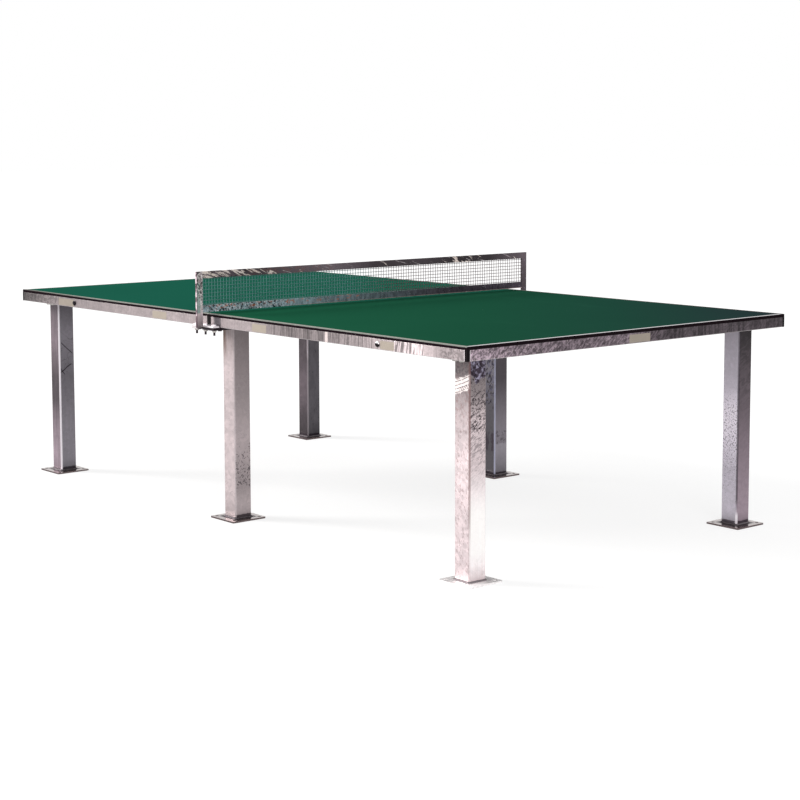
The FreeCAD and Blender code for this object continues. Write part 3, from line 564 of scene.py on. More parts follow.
def back_leg_marks(g, tone):
    front, end = g.square(g.ny), g.square(g.nx)
    dense = g.amount(
        g.z,
        [(0.0, 0.3), (0.08, 0.45), (0.20, 0.8), (0.30, 0.95), (0.42, 0.95), (0.50, 0.5), (0.56, 0.1),
         (0.71, 0.0)],
    )
    pepper = g.blots((190.0, 190.0, 170.0), 0.545, dense, (0.0, 0.5, 0.0), 2.0)
    tone = g.lay(tone, g.times(pepper, front), 0.72, srgb(66, 58, 72))
    salt = g.blots((170.0, 170.0, 190.0), 0.575, dense, (0.3, 0.9, 0.0), 2.0)
    tone = g.lay(tone, g.times(salt, front), 0.6, srgb(240, 234, 244))
    smear = g.streaks((25.0, 25.0, 70.0), 0.42, 0.60, (0.5, 0.0, 0.0), 3.0, 0.6, 0.8)
    amount = g.amount(g.z, [(0.0, 0.05), (0.40, 0.08), (0.50, 0.35), (0.71, 0.45)])
    tone = g.shade(tone, g.mix(end, (1.0, 1.0, 1.0, 1.0), g.swing(smear, amount)))
    dark = [(0.0, 0.0), (0.05, 0.0), (0.10, 0.75), (0.50, 0.75), (0.71, 0.4)]
    tone = corner_reflection_line(g, "back_a", dark, 0.0006, tone, srgb(40, 32, 42))
    bright = [(0.0, 1.0), (0.040, 1.0), (0.055, 0.0), (0.71, 0.0)]
    tone = leg_foot_shade(g, tone, 0.020)
    return corner_reflection_line(g, "back_a", bright, 0.0025, tone, CORNER_HIGHLIGHT)


def middle_leg_marks(g, tone):
    front, end = g.square(g.ny), g.square(g.nx)
    some = g.amount(
        g.z, [(0.0, 0.3), (0.10, 0.5), (0.13, 1.0), (0.20, 1.0), (0.29, 0.7), (0.33, 0.3), (0.71, 0.15)]
    )
    spots = g.blots((95.0, 95.0, 95.0), 0.575, some, twist=0.8)
    tone = g.lay(tone, g.times(spots, end), 0.75, srgb(64, 58, 64))
    fleck = g.blots((130.0, 130.0, 130.0), 0.66, 0.9)
    tone = g.lay(tone, fleck, 0.4, srgb(90, 80, 82))
    # Painted shade under the frame at the top of the front face: brown and streaky, and darkest at the
    # left.
    stain = g.streaks((55.0, 55.0, 5.0), 0.42, 0.62)
    stain = g.times(stain, g.times(front, g.span(g.z, 0.56, 0.64)))
    stain = g.times(stain, g.span(g.x, -0.004, 0.004, 0.95, 0.25))
    tone = g.mix(stain, tone, srgb(112, 92, 84))
    scuff = g.times(g.curls((22.0, 22.0, 22.0), 0.010), g.inside(g.z, 0.03, 0.34, 0.02))
    tone = g.lay(tone, scuff, 0.35, srgb(100, 88, 90))
    line = [(0.0, 0.3), (0.30, 0.25), (0.45, 0.15), (0.71, 0.1)]
    tone = g.mix(end, tone, leg_foot_shade(g, tone, 0.020))
    return corner_reflection_line(g, "front_middle", line, 0.0004, tone, srgb(214, 206, 208))


# Each deep scratch on the far leg: its height, its rise along y, and where along y it starts and ends.
SCRATCHES = ((0.552, -0.95, 0.010, 0.060), (0.416, 0.62, 0.004, 0.056), (0.440, -1.2, 0.002, 0.024))


def far_leg_marks(g, tone):
    front, end = g.square(g.ny), g.square(g.nx)
    some = g.amount(g.z, [(0.0, 0.2), (0.26, 0.3), (0.30, 0.85), (0.42, 0.8), (0.46, 0.3), (0.71, 0.4)])
    spots = g.blots((60.0, 60.0, 30.0), 0.60, some, twist=0.5)
    tone = g.lay(tone, g.times(spots, front), 0.6, srgb(48, 38, 42))
    run = g.streaks((100.0, 100.0, 7.0), 0.36, 0.64)
    tone = g.shade(tone, g.mix(end, g.swing(run, 0.30), g.swing(run, 0.06)))
    scratch = g.curls((14.0, 14.0, 18.0), 0.007, (0.5, 0.0, 0.0), 0.6)
    scratch = g.times(scratch, g.inside(g.z, 0.40, 0.60, 0.01))
    tone = g.lay(tone, g.times(scratch, end), 0.6, srgb(40, 34, 40))
    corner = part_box("leg_front_b")[0].y
    along = g.minus(g.y, corner)
    bend = g.plus(g.z, g.centred(g.noise(20.0), 0.012))
    for height, rise, first, last in SCRATCHES:
        off = g.math("ABSOLUTE", g.minus(bend, g.plus(g.times(along, rise), height)))
        cut = g.times(g.span(off, 0.0012, 0.0040, 0.9, 0.0), g.inside(along, first, last, 0.002))
        tone = g.mix(g.times(cut, end), tone, srgb(26, 20, 26))
    line = [(0.0, 0.95), (0.20, 0.9), (0.50, 1.0), (0.71, 0.8)]
    tone = g.mix(end, leg_foot_shade(g, tone, 0.014, 0.4), leg_foot_shade(g, tone, 0.020))
    return corner_reflection_line(g, "front_b", line, 0.0014, tone, CORNER_HIGHLIGHT)


def back_middle_marks(g, tone):
    front = g.square(g.ny)
    some = g.amount(g.z, [(0.0, 0.1), (0.24, 0.15), (0.29, 0.75), (0.34, 1.0), (0.71, 1.0)])
    blots = g.blots((90.0, 90.0, 40.0), 0.53, some, (0.0, 0.5, 0.0), twist=0.6)
    tone = g.lay(tone, g.times(blots, front), 0.8, srgb(26, 18, 28))
    frost = g.blots((80.0, 80.0, 60.0), 0.54, some, (0.0, -0.4, 0.0))
    tone = g.lay(tone, g.times(frost, front), 0.5, srgb(120, 118, 146))
    stain = g.times(g.inside(g.z, 0.105, 0.180, 0.004), g.streaks((40.0, 40.0, 18.0), 0.42, 0.55))
    tone = g.lay(tone, g.times(stain, front), 0.6, srgb(58, 42, 56))
    step = g.times(g.inside(g.z, 0.136, 0.50, 0.002), g.square(g.nx))
    tone = g.lay(tone, step, 0.30, srgb(58, 40, 50))
    drip = g.times(g.blots((60.0, 60.0, 50.0), 0.56), g.inside(g.z, 0.134, 0.190, 0.004))
    tone = g.lay(tone, g.times(drip, g.square(g.nx)), 0.5, srgb(26, 18, 26))
    line = [(0.0, 0.9), (0.30, 0.9), (0.55, 0.95), (0.71, 0.9)]
    tone = leg_foot_shade(g, tone, 0.018)
    return corner_reflection_line(g, "back_middle", line, 0.0005, tone, srgb(190, 190, 212))


def back_far_marks(g, tone):
    spots = g.blots((70.0, 70.0, 40.0), 0.61, 0.9, twist=0.5)
    tone = g.lay(tone, spots, 0.35, srgb(34, 24, 30))
    smear = g.streaks((40.0, 40.0, 14.0), 0.40, 0.62)
    tone = g.shade(tone, g.swing(smear, 0.18))
    line = [(0.0, 0.3), (0.28, 0.5), (0.36, 0.5), (0.40, 0.95), (0.47, 0.95), (0.50, 0.6), (0.71, 0.7)]
    tone = leg_foot_shade(g, tone, 0.020)
    return corner_reflection_line(g, "back_b", line, 0.0006, tone, srgb(206, 196, 202))


LEG_MARKS = {
    "front_a": near_leg_marks,
    "front_middle": middle_leg_marks,
    "front_b": far_leg_marks,
    "back_a": back_leg_marks,
    "back_middle": back_middle_marks,
    "back_b": back_far_marks,
}
NEUTRAL = (WARM, [(0.0, MID), (0.70, LIGHT)])


def plate_material():
    """Smooth bright plate with a painted shade ring round the leg's foot, and painted glare that makes
    the plate at the nearest leg white.
    """
    g = Graph("galvanised_plate")
    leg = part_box("leg_front_a")
    centre_x, centre_y = (leg[0].x + leg[1].x) / 2, -(leg[0].y + leg[1].y) / 2
    half = (leg[1].x - leg[0].x) / 2
    # The legs stand at x 0 and +-centre_x, so folding x about them puts every leg at 0.
    outer = g.math("ABSOLUTE", g.minus(g.math("ABSOLUTE", g.x), centre_x))
    across = g.math("MINIMUM", outer, g.math("ABSOLUTE", g.x))
    along = g.math("ABSOLUTE", g.minus(g.math("ABSOLUTE", g.y), centre_y))
    reach = g.math("MAXIMUM", across, along)
    reach = g.plus(reach, g.centred(g.noise(70.0, 3.0), 0.006))
    # Painted glare: the plate at the nearest leg is white, with less shade ring, mottle and dark edge.
    nearest = g.times(g.span(g.x, 0.9, 1.0), g.span(g.y, -0.2, 0.0, 1.0, 0.0))
    # Painted shade: a dark ring round each leg's foot.
    plate_shade_ring = g.span(reach, half + 0.006, half + 0.022, 1.0, 0.0)
    plate_shade_ring = g.times(plate_shade_ring, g.plus(1.0, g.times(nearest, -0.85)))
    crystals = g.cell_values(70.0, g.warped(30.0, 0.004))
    light = g.times(g.about(crystals, 0.16), g.about(g.noise(14.0, 4.0, 0.6), 0.22))
    tone = g.shade(g.mix(nearest, srgb(168, 156, 154), srgb(255, 252, 252)), light)
    fading = g.span(reach, half + 0.010, half + 0.034, 1.0, 0.35)
    mottle = g.blots((70.0, 70.0, 70.0), 0.56, fading, twist=1.0)
    mottle = g.times(mottle, g.plus(0.55, g.times(nearest, -0.50)))
    tone = g.mix(mottle, tone, srgb(110, 96, 104))
    tone = g.mix(plate_shade_ring, tone, srgb(36, 26, 36))
    edge = g.times(g.span(g.nz, 0.5, 0.8, 1.0, 0.0), g.plus(0.80, g.times(nearest, -0.75)))
    tone = g.mix(edge, tone, srgb(74, 58, 60))
    g.bump(g.plus(crystals, g.noise(200.0, 2.0)), 0.12, 0.0006)
    rough = g.plus(g.span(plate_shade_ring, 0.0, 1.0, 0.16, 0.42), g.times(nearest, 0.45))
    return g.finish(tone, rough, 0.9)


# The net's rails are dark towards the far post. The bottom one is pale at the near post. These tones are
# largely painted reflection over the zinc's own tone.
NET_TOP = (
    PLUM,
    [(-0.80, DULL), (-0.60, DARK), (-0.40, DUSK), (-0.20, DULL), (0.0, DARK), (0.25, DARK),
     (0.40, BLACK), (0.60, BLACK), (0.80, DUSK)],
)
NET_BOTTOM = (
    SKY,
    [(-0.78, PALE), (-0.40, PALE), (-0.20, MID), (0.0, DULL), (0.20, DUSK), (0.40, DARK), (0.78, DARK)],
)
POST_FRONT = (
    WARM,
    [(0.71, DULL), (0.76, BRIGHT), (0.79, GLARE), (0.82, GLARE), (0.85, LIGHT), (0.90, PALE)],
)
POST_BACK = (PLUM, [(0.78, DARK), (0.90, DUSK)])


def net_bar(name, at, tones, marks):
    """Glossy flat bar of the net's frame. tones are a cast and stops along at, which is "y" or "z"."""
    g = Graph(name)
    place = g.y if at == "y" else g.z
    stops = toned(*tones)
    tone = g.ramp(place, stops, stops[0][0], stops[-1][0])
    grain = g.noise(260.0, 3.0, 0.6)
    tone = g.shade(tone, g.times(g.about(grain, 0.3), g.about(g.noise(22.0, 4.0), 0.3)))
    tone = marks(g, tone)
    wave = g.noise(40.0, 3.0, 0.6, 0.8)
    g.bump(g.plus(wave, g.times(grain, 0.2)), 0.18, 0.0012)
    return g.finish(tone, g.span(wave, 0.3, 0.7, 0.24, 0.40), 0.6, 0.2)


def net_top_reflections(g, tone):
    """Painted reflections: pale and dark zigzags that crowd towards the near end, and thin pale streaks.
    """
    amount = g.amount(
        g.y,
        [(-0.817, 0.95), (-0.66, 0.90), (-0.55, 0.70), (-0.42, 0.40), (-0.30, 0.15), (0.33, 0.15),
         (0.40, 0.70), (0.52, 0.70), (0.58, 0.15), (0.817, 0.25)],
    )
    pale = g.blots((13.0, 13.0, 80.0), 0.482, amount, (-0.42, 0.0, 0.0), twist=1.0)
    tone = g.lay(tone, pale, 0.9, srgb(244, 228, 220))
    dark = g.blots((26.0, 26.0, 110.0), 0.54, amount, (-0.5, 0.0, 0.0), twist=1.2)
    tone = g.lay(tone, dark, 0.8, srgb(40, 30, 38))
    warm = g.times(g.inside(g.y, -0.60, -0.22, 0.06), g.blots((40.0, 40.0, 90.0), 0.54))
    tone = g.lay(tone, warm, 0.2, srgb(150, 96, 84))
    thin = g.blots((9.0, 9.0, 150.0), 0.60, 0.85, (-0.30, 0.0, 0.0))
    return g.lay(tone, thin, 0.6, srgb(214, 204, 208))


def net_bottom_marks(g, tone):
    """Short upright marks, and orange touches where the wires stand on the rail."""
    plum = g.span(g.y, 0.0, 0.45, 0.0, 0.8)
    tone = g.mix(plum, tone, (1.0, 0.55, 0.70, 1.0), "MULTIPLY")
    upright = g.streaks((110.0, 110.0, 45.0), 0.38, 0.62)
    tone = g.shade(tone, g.swing(upright, 0.5))
    pepper = g.amount(g.y, [(-0.79, 0.7), (-0.74, 1.0), (-0.45, 0.9), (-0.36, 0.3), (0.79, 0.25)])
    salt = g.blots((120.0, 120.0, 150.0), 0.525, pepper, (-0.5, 0.0, 0.0))
    tone = g.lay(tone, salt, 0.9, srgb(236, 232, 240))
    dark = g.blots((110.0, 110.0, 150.0), 0.525, pepper, (-0.8, 0.0, 0.0))
    tone = g.lay(tone, dark, 0.92, srgb(22, 20, 30))
    orange_amount = g.amount(g.y, [(-0.79, 0.9), (-0.10, 0.9), (0.0, 0.0), (0.79, 0.0)])
    orange_spots = g.blots((38.0, 38.0, 90.0), 0.56, orange_amount, (0.2, 0.0, 0.0))
    orange_spots = g.times(orange_spots, g.span(g.z, TOP + 0.012, TOP + 0.018))
    tone = g.lay(tone, orange_spots, 0.7, srgb(206, 122, 92))
    rim = g.span(g.z, TOP + 0.0075, TOP + 0.0090, 0.75, 0.0)
    rim = g.times(rim, g.times(g.span(g.y, -0.5, -0.3), g.about(g.noise(50.0, 3.0), 0.8)))
    return g.mix(rim, tone, srgb(176, 154, 152))


def post_marks(g, tone):
    """Mottled above the top, smooth below it, with a painted green reflection of the top, a pale inner
    edge that is a painted highlight, and a pale and dark front face.
    """
    inner = g.math("ABSOLUTE", g.y)
    above = g.amount(g.z, [(0.700, 0.0), (0.762, 0.0), (0.775, 0.6), (0.820, 1.0), (0.912, 1.0)])
    face = g.square(g.nx)
    # Painted reflection of the green top beside it: a green cast down the outer half.
    cast = g.span(inner, HALF_WIDTH + 0.036, HALF_WIDTH + 0.042)
    cast = g.times(cast, g.inside(g.z, 0.764, 0.872, 0.003))
    tone = g.lay(tone, g.times(cast, face), 0.6, srgb(90, 150, 140))
    # Painted highlight: a pale strip along the inner edge, solid from just under the top to 5 cm above
    # it, and in beads higher up.
    rim = g.times(g.span(inner, HALF_WIDTH + 0.0325, HALF_WIDTH + 0.0365, 1.0, 0.0), face)
    beads = g.blots((60.0, 60.0, 75.0), 0.47, above)
    below = g.math("MAXIMUM", beads, g.inside(g.z, 0.752, 0.812, 0.002))
    tone = g.lay(tone, g.times(rim, below), 0.85, srgb(244, 226, 232))
    dark = g.blots((105.0, 150.0, 90.0), 0.525, above, (-0.4, 0.0, 0.0), twist=0.8)
    tone = g.lay(tone, g.times(dark, face), 0.9, srgb(32, 26, 34))
    pale = g.blots((105.0, 150.0, 90.0), 0.565, above, (0.4, 0.0, 0.0), twist=0.8)
    tone = g.lay(tone, g.times(pale, face), 0.85, srgb(246, 240, 238))
    side = g.square(g.ny)
    turns = g.streaks((20.0, 20.0, 34.0), 0.46, 0.54)
    narrow = g.mix(turns, srgb(96, 72, 82), srgb(236, 214, 222))
    tone = g.lay(tone, side, 0.9, narrow)
    outer = g.times(g.span(inner, HALF_WIDTH + 0.0505, HALF_WIDTH + 0.0530), face)
    return g.lay(tone, outer, 0.6, srgb(64, 56, 62))


def far_post_marks(g, tone):
    spots = g.blots((80.0, 80.0, 60.0), 0.58, 0.8)
    return g.lay(tone, spots, 0.4, srgb(150, 138, 160))


def carrier_material(name, edge_shade):
    """A plate under the joint, with painted light and shade: bright on top, and on its edges as dark as
    the given edge shade, 0 to 1, says.
    """
    g = Graph(name)
    cloud = g.noise(60.0, 4.0, 0.6)
    top = g.shade(srgb(246, 240, 244), g.about(cloud, 0.10))
    rest = g.mix(g.span(cloud, 0.45, 0.62), srgb(26, 17, 24), srgb(66, 56, 64))
    # Painted light: the edge left of the post is bright too.
    left = g.times(g.square(g.ny), g.span(g.x, -0.006, 0.0, 1.0, 0.0))
    rest = g.mix(g.times(left, 0.85), rest, srgb(226, 220, 222))
    rest = g.mix(edge_shade, top, rest)
    tone = g.mix(g.span(g.nz, 0.3, 0.6), rest, top)
    g.bump(g.noise(300.0, 3.0), 0.15, 0.0006)
    return g.finish(tone, g.span(cloud, 0.3, 0.7, 0.32, 0.48), 0.5, 0.2)


def wire_material():
    """Thin galvanised wire, green-grey on the front half and brown-grey on the back one."""
    g = Graph("net_wire")
    near = g.mix(g.noise(40.0, 3.0), srgb(76, 116, 116), srgb(102, 144, 142))
    far = g.mix(g.noise(40.0, 3.0), srgb(60, 44, 48), srgb(106, 90, 92))
    tone = g.mix(g.span(g.y, -0.15, 0.15), near, far)
    tone = g.shade(tone, g.about(g.noise(600.0, 2.0), 0.3))
    return g.finish(tone, g.span(g.noise(200.0), 0.3, 0.7, 0.35, 0.5), 0.6)


def zinc_material(name="zinc_fastener", dull=srgb(150, 145, 142), bright=srgb(206, 202, 198)):
    g = Graph(name)
    tone = g.mix(g.noise(90.0, 3.0), dull, bright)
    tone = g.shade(tone, g.about(g.noise(900.0, 2.0), 0.2))
    g.bump(g.noise(700.0, 2.0), 0.15, 0.0003)
    return g.finish(tone, g.span(g.noise(120.0), 0.3, 0.7, 0.22, 0.36), 0.8, 0.2)


def hanging_bolt_material():
    """Bolts through the net's foot: pale heads on top and dark ends below, by height: painted light and
    shade.
    """
    g = Graph("hanging_bolt")
    light = g.about(g.noise(400.0, 3.0), 0.3)
    head = g.span(g.z, FRAME_BOTTOM - 0.006, FRAME_BOTTOM - 0.002)
    tone = g.shade(g.mix(head, srgb(50, 40, 46), srgb(238, 232, 236)), light)
    return g.finish(tone, g.span(g.noise(120.0), 0.3, 0.7, 0.25, 0.4), 0.6, 0.2)


def dome_material():
    """Domed bolt heads with painted light and shade: a bright painted highlight on the upper side, black
    painted shade on the lower one, and more of it on the bolt at -X.
    """
    g = Graph("domed_bolt")
    middle = (FRAME_BOTTOM + PANEL_BOTTOM) / 2
    down = g.times(g.minus(middle, g.z), 90.0)
    down = g.plus(down, g.times(g.nx, -0.25))
    down = g.plus(down, g.centred(g.noise(200.0, 3.0), 0.2))
    # Painted shade: the bolt at -X is darker.
    down = g.plus(down, g.span(g.x, -0.1, 0.1, 1.0, 0.38))
    tone = g.mix(g.span(down, -0.05, 0.25), srgb(240, 236, 238), srgb(20, 11, 18))
    g.bump(g.noise(700.0, 2.0), 0.1, 0.0002)
    return g.finish(tone, g.span(down, -0.2, 0.3, 0.25, 0.5), 0.7, 0.2)


def guard_material():
    """Moulded black plastic with a fine grain and dusty scuffs."""
    g = Graph("black_guard")
    scuff = g.span(g.noise(160.0, 4.0, 0.7), 0.60, 0.74)
    tone = g.mix(g.times(scuff, 0.15), srgb(14, 7, 10), srgb(60, 50, 54))
    g.bump(g.noise(1500.0, 2.0), 0.2, 0.0003)
    return g.finish(tone, g.span(scuff, 0.0, 1.0, 0.5, 0.65), 0.0, 0.08)


def label_material():
    """Blank vinyl label, a warm grey with faint clouds, and painted shade that darkens it towards the
    table's far end.
    """
    g = Graph("blank_label")
    tone = g.mix(g.noise(45.0, 4.0, 0.6), srgb(172, 161, 149), srgb(188, 177, 165))
    tone = g.shade(tone, g.span(g.x, -0.90, -0.60, 0.80, 1.0))
    tone = g.shade(tone, g.about(g.noise(500.0, 2.0), 0.12))
    return g.finish(tone, g.span(g.noise(80.0), 0.3, 0.7, 0.42, 0.6), 0.0, 0.1)


def weld_material():
    """Galvanised weld bead: dull and grainy, and painted a little paler on the nearest leg, where glare
    falls.
    """
    g = Graph("weld_bead")
    nearest_weld_glare = g.times(g.span(g.x, 0.9, 1.0), g.span(g.y, -0.2, 0.0, 1.0, 0.0))
    tone = g.mix(g.noise(300.0, 3.0), srgb(70, 62, 68), srgb(128, 120, 124))
    tone = g.lay(tone, nearest_weld_glare, 0.15, srgb(226, 214, 216))
    g.bump(g.noise(500.0, 3.0), 0.4, 0.0006)
    return g.finish(tone, g.span(g.noise(150.0), 0.3, 0.7, 0.45, 0.62), 0.6)


def paint(names, material):
    for name in names:
        slots = nodes[name].material_slots
        if not slots:
            nodes[name].data.materials.append(material)
        for s in nodes[name].material_slots:
            s.material = material


def starting(*starts):
    return [n for n in nodes if n.startswith(starts)]


paint(starting("top_panel"), panel_material())
rail = galvanised("galvanised_rail", FRONT_RAIL, END_RAIL, "xy", rail_marks, (110.0, 0.10), 0.14)
paint(starting("side_rail", "end_rail"), rail)
inner = galvanised("galvanised_inner", NEUTRAL, NEUTRAL, "z")
paint(starting("joint_rail", "cross_member", "head_plate"), inner)
for place, (front_tones, end_tones) in LEG_TONES.items():
    metal = 0.9 if place == "front_a" else 0.6
    name = "galvanised_leg_" + place
    leg_finish = galvanised(name, front_tones, end_tones, "z", LEG_MARKS[place], metallic=metal)
    paint(["leg_" + place], leg_finish)
paint(starting("foot_plate"), plate_material())
paint(["net_top_rail"], net_bar("net_top", "y", NET_TOP, net_top_reflections))
paint(["net_bottom_rail"], net_bar("net_bottom", "y", NET_BOTTOM, net_bottom_marks))
paint(["net_post_front"], net_bar("net_post_near", "z", POST_FRONT, post_marks))
paint(["net_post_back"], net_bar("net_post_far", "z", POST_BACK, far_post_marks))
paint(["net_mesh"], wire_material())
paint(starting("net_foot"), carrier_material("net_foot_plate", 0.0))
paint(starting("net_bracket"), carrier_material("net_bracket_plate", 1.0))
paint([n for n in nodes if n.endswith(("_bolts", "_nuts", "_washers"))], zinc_material())
dark_bolts = zinc_material("dark_fastener", srgb(34, 26, 32), srgb(86, 78, 84))
paint(["bracket_bolts"], dark_bolts)
paint(["net_bolts"], hanging_bolt_material())
paint(["side_bolts"], dome_material())
paint(starting("panel_screws"), zinc_material("zinc_screw"))
paint(starting("corner_guards"), guard_material())


# ---------------------------------------------------------------- pieces made here

def piece(name, mesh, material, smooth=True):
    """A finished mesh as an object that rides with the table."""
    made = bpy.data.objects.new(name, mesh)
    bpy.context.scene.collection.objects.link(made)
    mesh.materials.append(material)
    for polygon in mesh.polygons:
        polygon.use_smooth = smooth
    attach(made, BODY)
    return made


LABEL_THICK = 0.00015
LABEL_CORNER = 0.003


def label(name, centre, length, height, facing):
    """A thin label with rounded corners on a rail's outer face. facing is "-y" or "+x"."""
    outline = []
    for turn, (sx, sz) in enumerate(((1, 1), (-1, 1), (-1, -1), (1, -1))):
        for step in range(5):
            a = math.pi / 2 * (turn + step / 4)
            outline.append(
                (
                    sx * (length / 2 - LABEL_CORNER) + LABEL_CORNER * math.cos(a),
                    sz * (height / 2 - LABEL_CORNER) + LABEL_CORNER * math.sin(a),
                )
            )

    def point(u, w, out):
        if facing == "-y":
            return Vector((centre[0] + u, centre[1] - out, centre[2] + w))
        return Vector((centre[0] + out, centre[1] + u, centre[2] + w))

    mesh = bpy.data.meshes.new(name)
    b = bmesh.new()
    back = [b.verts.new(point(u, w, 0.0)) for u, w in outline]
    face = [b.verts.new(point(u, w, LABEL_THICK)) for u, w in outline]
    b.faces.new(face)
    b.faces.new(back[::-1])
    for i in range(len(outline)):
        j = (i + 1) % len(outline)
        b.faces.new((back[i], back[j], face[j], face[i]))
    bmesh.ops.recalc_face_normals(b, faces=b.faces)
    b.to_mesh(mesh)
    b.free()
    return piece(name, mesh, label_finish, smooth=False)


label_finish = label_material()
LABEL_HEIGHT = 0.027
LABEL_MIDDLE = FRAME_BOTTOM + 0.0165
# Where each label on the front starts and ends along x, and the end label's middle along y and length.
FRONT_LABELS = ((-1.072, -0.950), (-0.374, -0.279), (0.264, 0.346), (0.960, 1.029))
END_LABEL = (0.004, 0.101)
for number, (low, high) in enumerate(FRONT_LABELS):
    label(
        f"blank_label_front_{number + 1}",
        ((low + high) / 2, -HALF_WIDTH, LABEL_MIDDLE),
        high - low,
        LABEL_HEIGHT,
        "-y",
    )
end_middle, end_length = END_LABEL
label("blank_label_end", (HALF_LENGTH, end_middle, LABEL_MIDDLE), end_length, LABEL_HEIGHT, "+x")


WELD_REACH = 0.0055
WELD_RIPPLE = 0.0034


def weld(name, node, level, up):
    """A rippled fillet weld round a leg. It lies on the plate at this level, and up is 1 or -1."""
    low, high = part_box(node)
    middle = (low + high) / 2
    half, corner = (high.x - low.x) / 2, LEG_CORNER
    path = []
    for turn, (sx, sy) in enumerate(((1, 1), (-1, 1), (-1, -1), (1, -1))):
        for step in range(7):
            a = math.pi / 2 * (turn + step / 6)
            n = Vector((math.cos(a), math.sin(a), 0))
            c = Vector((sx * (half - corner), sy * (half - corner), 0))
            path.append((c + n * corner, n))
    dense = []
    for i, (p, n) in enumerate(path):
        q, m = path[(i + 1) % len(path)]
        parts = max(1, round((q - p).length / 0.0011))
        for k in range(parts):
            t = k / parts
            dense.append((p.lerp(q, t), n.lerp(m, t).normalized()))
    mesh = bpy.data.meshes.new(name)
    b = bmesh.new()
    rings, along = [], 0.0
    for i, (p, n) in enumerate(dense):
        along += (p - dense[i - 1][0]).length if i else 0.0
        ripple = 0.07 * math.sin(along / WELD_RIPPLE * 2 * math.pi)
        r = WELD_REACH * (1 + ripple + 0.05 * math.sin(along * 190))
        base = Vector((middle.x, middle.y, level)) + p
        section = [(-0.0008, 0.0), (-0.0008, 0.95), (0.25, 0.80), (0.62, 0.55), (0.84, 0.26), (1.0, 0.0)]
        ring = []
        for out, height in section:
            out = out if out < 0 else out * r
            ring.append(b.verts.new(base + n * out + Vector((0, 0, up * height * r))))
        rings.append(ring)
    for i in range(len(rings)):
        here, there = rings[i], rings[(i + 1) % len(rings)]
        for k in range(len(here)):
            j = (k + 1) % len(here)
            b.faces.new((here[k], there[k], there[j], here[j]))
    bmesh.ops.recalc_face_normals(b, faces=b.faces)
    b.to_mesh(mesh)
    b.free()
    return piece(name, mesh, weld_finish)


weld_finish = weld_material()
for place in LEG_TONES:
    node = "leg_" + place
    low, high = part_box(node)
    weld("weld_foot_" + place, node, low.z, 1)
    weld("weld_head_" + place, node, high.z, -1)


# ---------------------------------------------------------------- floor, light and camera

def seen(tree):
    """1 for a ray from the camera, or one that a mirror or glass sends on, and 0 for the others."""
    path = tree.nodes.new("ShaderNodeLightPath")
    total = None
    for ray in ("Is Camera Ray", "Is Glossy Ray", "Is Transmission Ray"):
        if total is None:
            total = path.outputs[ray]
            continue
        most = tree.nodes.new("ShaderNodeMath")
        most.operation = "MAXIMUM"
        tree.links.new(total, most.inputs[0])
        tree.links.new(path.outputs[ray], most.inputs[1])
        total = most.outputs[0]
    return total


AMBIENT = 0.60
FLOOR_ALBEDO = 0.34
FLOOR_GLOW = 0.76

world = bpy.data.worlds.new("studio")
bpy.context.scene.world = world
world.use_nodes = True
tree = world.node_tree
background = tree.nodes["Background"]
background.inputs["Color"].default_value = (1.0, 1.0, 1.0, 1.0)
level = tree.nodes.new("ShaderNodeMapRange")
tree.links.new(seen(tree), level.inputs["Value"])
level.inputs["To Min"].default_value = AMBIENT
level.inputs["To Max"].default_value = 1.0
tree.links.new(level.outputs[0], background.inputs["Strength"])

FLOOR_REACH = 60.0
mesh = bpy.data.meshes.new("floor")
mesh.from_pydata(
    [(-FLOOR_REACH, -FLOOR_REACH, 0), (FLOOR_REACH, -FLOOR_REACH, 0), (FLOOR_REACH, FLOOR_REACH, 0),
     (-FLOOR_REACH, FLOOR_REACH, 0)],
    [],
    [(0, 1, 2, 3)],
)
floor = bpy.data.objects.new("floor", mesh)
bpy.context.scene.collection.objects.link(floor)
floor_paint = bpy.data.materials.new("pale_floor")
floor_paint.use_nodes = True
tree = floor_paint.node_tree
shader = tree.nodes["Principled BSDF"]
shader.inputs["Base Color"].default_value = (FLOOR_ALBEDO,) * 3 + (1.0,)
shader.inputs["Roughness"].default_value = 1.0
shader.inputs["Specular IOR Level"].default_value = 0.0
shader.inputs["Emission Color"].default_value = (1.0, 1.0, 1.0, 1.0)
glow = tree.nodes.new("ShaderNodeMath")
glow.operation = "MULTIPLY"
glow.inputs[1].default_value = FLOOR_GLOW
tree.links.new(seen(tree), glow.inputs[0])
tree.links.new(glow.outputs[0], shader.inputs["Emission Strength"])
floor.data.materials.append(floor_paint)
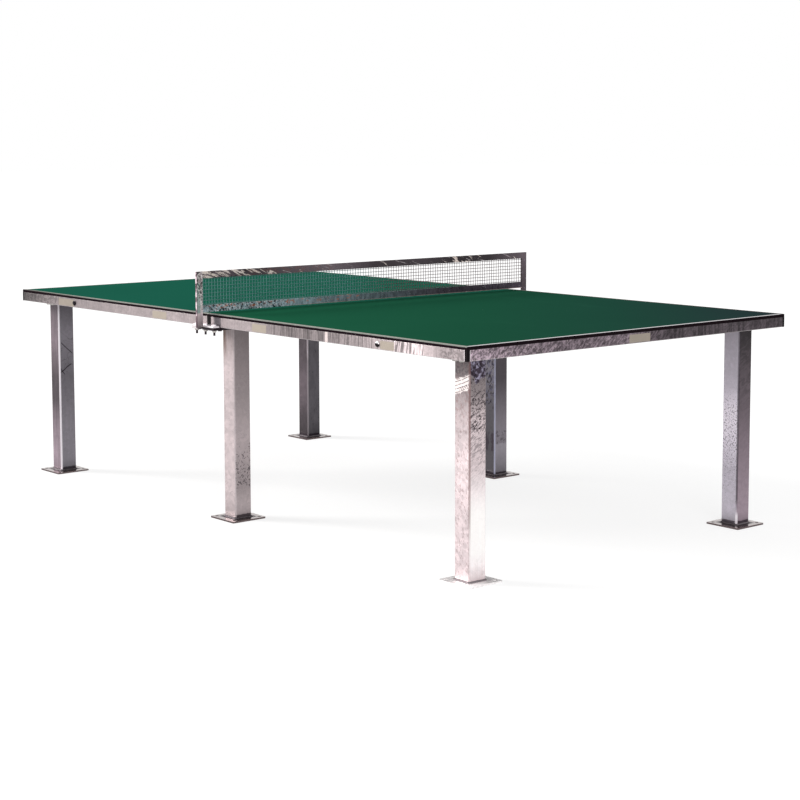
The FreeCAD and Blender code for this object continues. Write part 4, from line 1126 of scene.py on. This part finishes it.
floor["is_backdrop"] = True


def sun(name, azimuth, elevation, strength, spread, colour=(1.0, 1.0, 1.0)):
    """A distant lamp. Azimuth 0 is in front of the table, at -Y, and 90 is at +X."""
    lamp = bpy.data.lights.new(name, "SUN")
    lamp.energy, lamp.angle, lamp.color = strength, math.radians(spread), colour
    made = bpy.data.objects.new(name, lamp)
    a, e = math.radians(azimuth), math.radians(elevation)
    source = Vector((math.sin(a) * math.cos(e), -math.cos(a) * math.cos(e), math.sin(e)))
    made.rotation_euler = source.to_track_quat("Z", "Y").to_euler()
    bpy.context.scene.collection.objects.link(made)


WARM_WHITE = (1.0, 0.975, 0.955)
sun("key", azimuth=-52.0, elevation=24.0, strength=3.1, spread=22.0, colour=WARM_WHITE)
sun("fill", azimuth=58.0, elevation=20.0, strength=0.85, spread=30.0)

# The photograph's camera: lens in millimetres, angles in degrees and place in metres.
SENSOR_WIDTH = 36.0
LENS = 80.916
SHIFT = -0.1
FAR_CLIP = 200.0
YAW, PITCH, ROLL = 49.73, 5.82, -0.12
CAMERA_PLACE = (5.3321, -4.3832, 1.3882)

camera_data = bpy.data.cameras.new("camera")
camera_data.sensor_width = SENSOR_WIDTH
camera_data.lens = LENS
camera_data.shift_y = SHIFT
camera_data.clip_end = FAR_CLIP
camera = bpy.data.objects.new("camera", camera_data)
yaw, pitch, roll = (math.radians(angle) for angle in (YAW, PITCH, ROLL))
forward = Vector(
    (-math.sin(yaw) * math.cos(pitch), math.cos(yaw) * math.cos(pitch), -math.sin(pitch))
)
level_right = Vector((math.cos(yaw), math.sin(yaw), 0.0))
level_up = level_right.cross(forward)
right = level_right * math.cos(roll) + level_up * math.sin(roll)
up = level_up * math.cos(roll) - level_right * math.sin(roll)
turn = Matrix((right, up, -forward)).transposed().to_4x4()
camera.matrix_world = Matrix.Translation(CAMERA_PLACE) @ turn
bpy.context.scene.collection.objects.link(camera)
bpy.context.scene.camera = camera
bpy.context.scene.view_settings.view_transform = "Standard"

low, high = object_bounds()
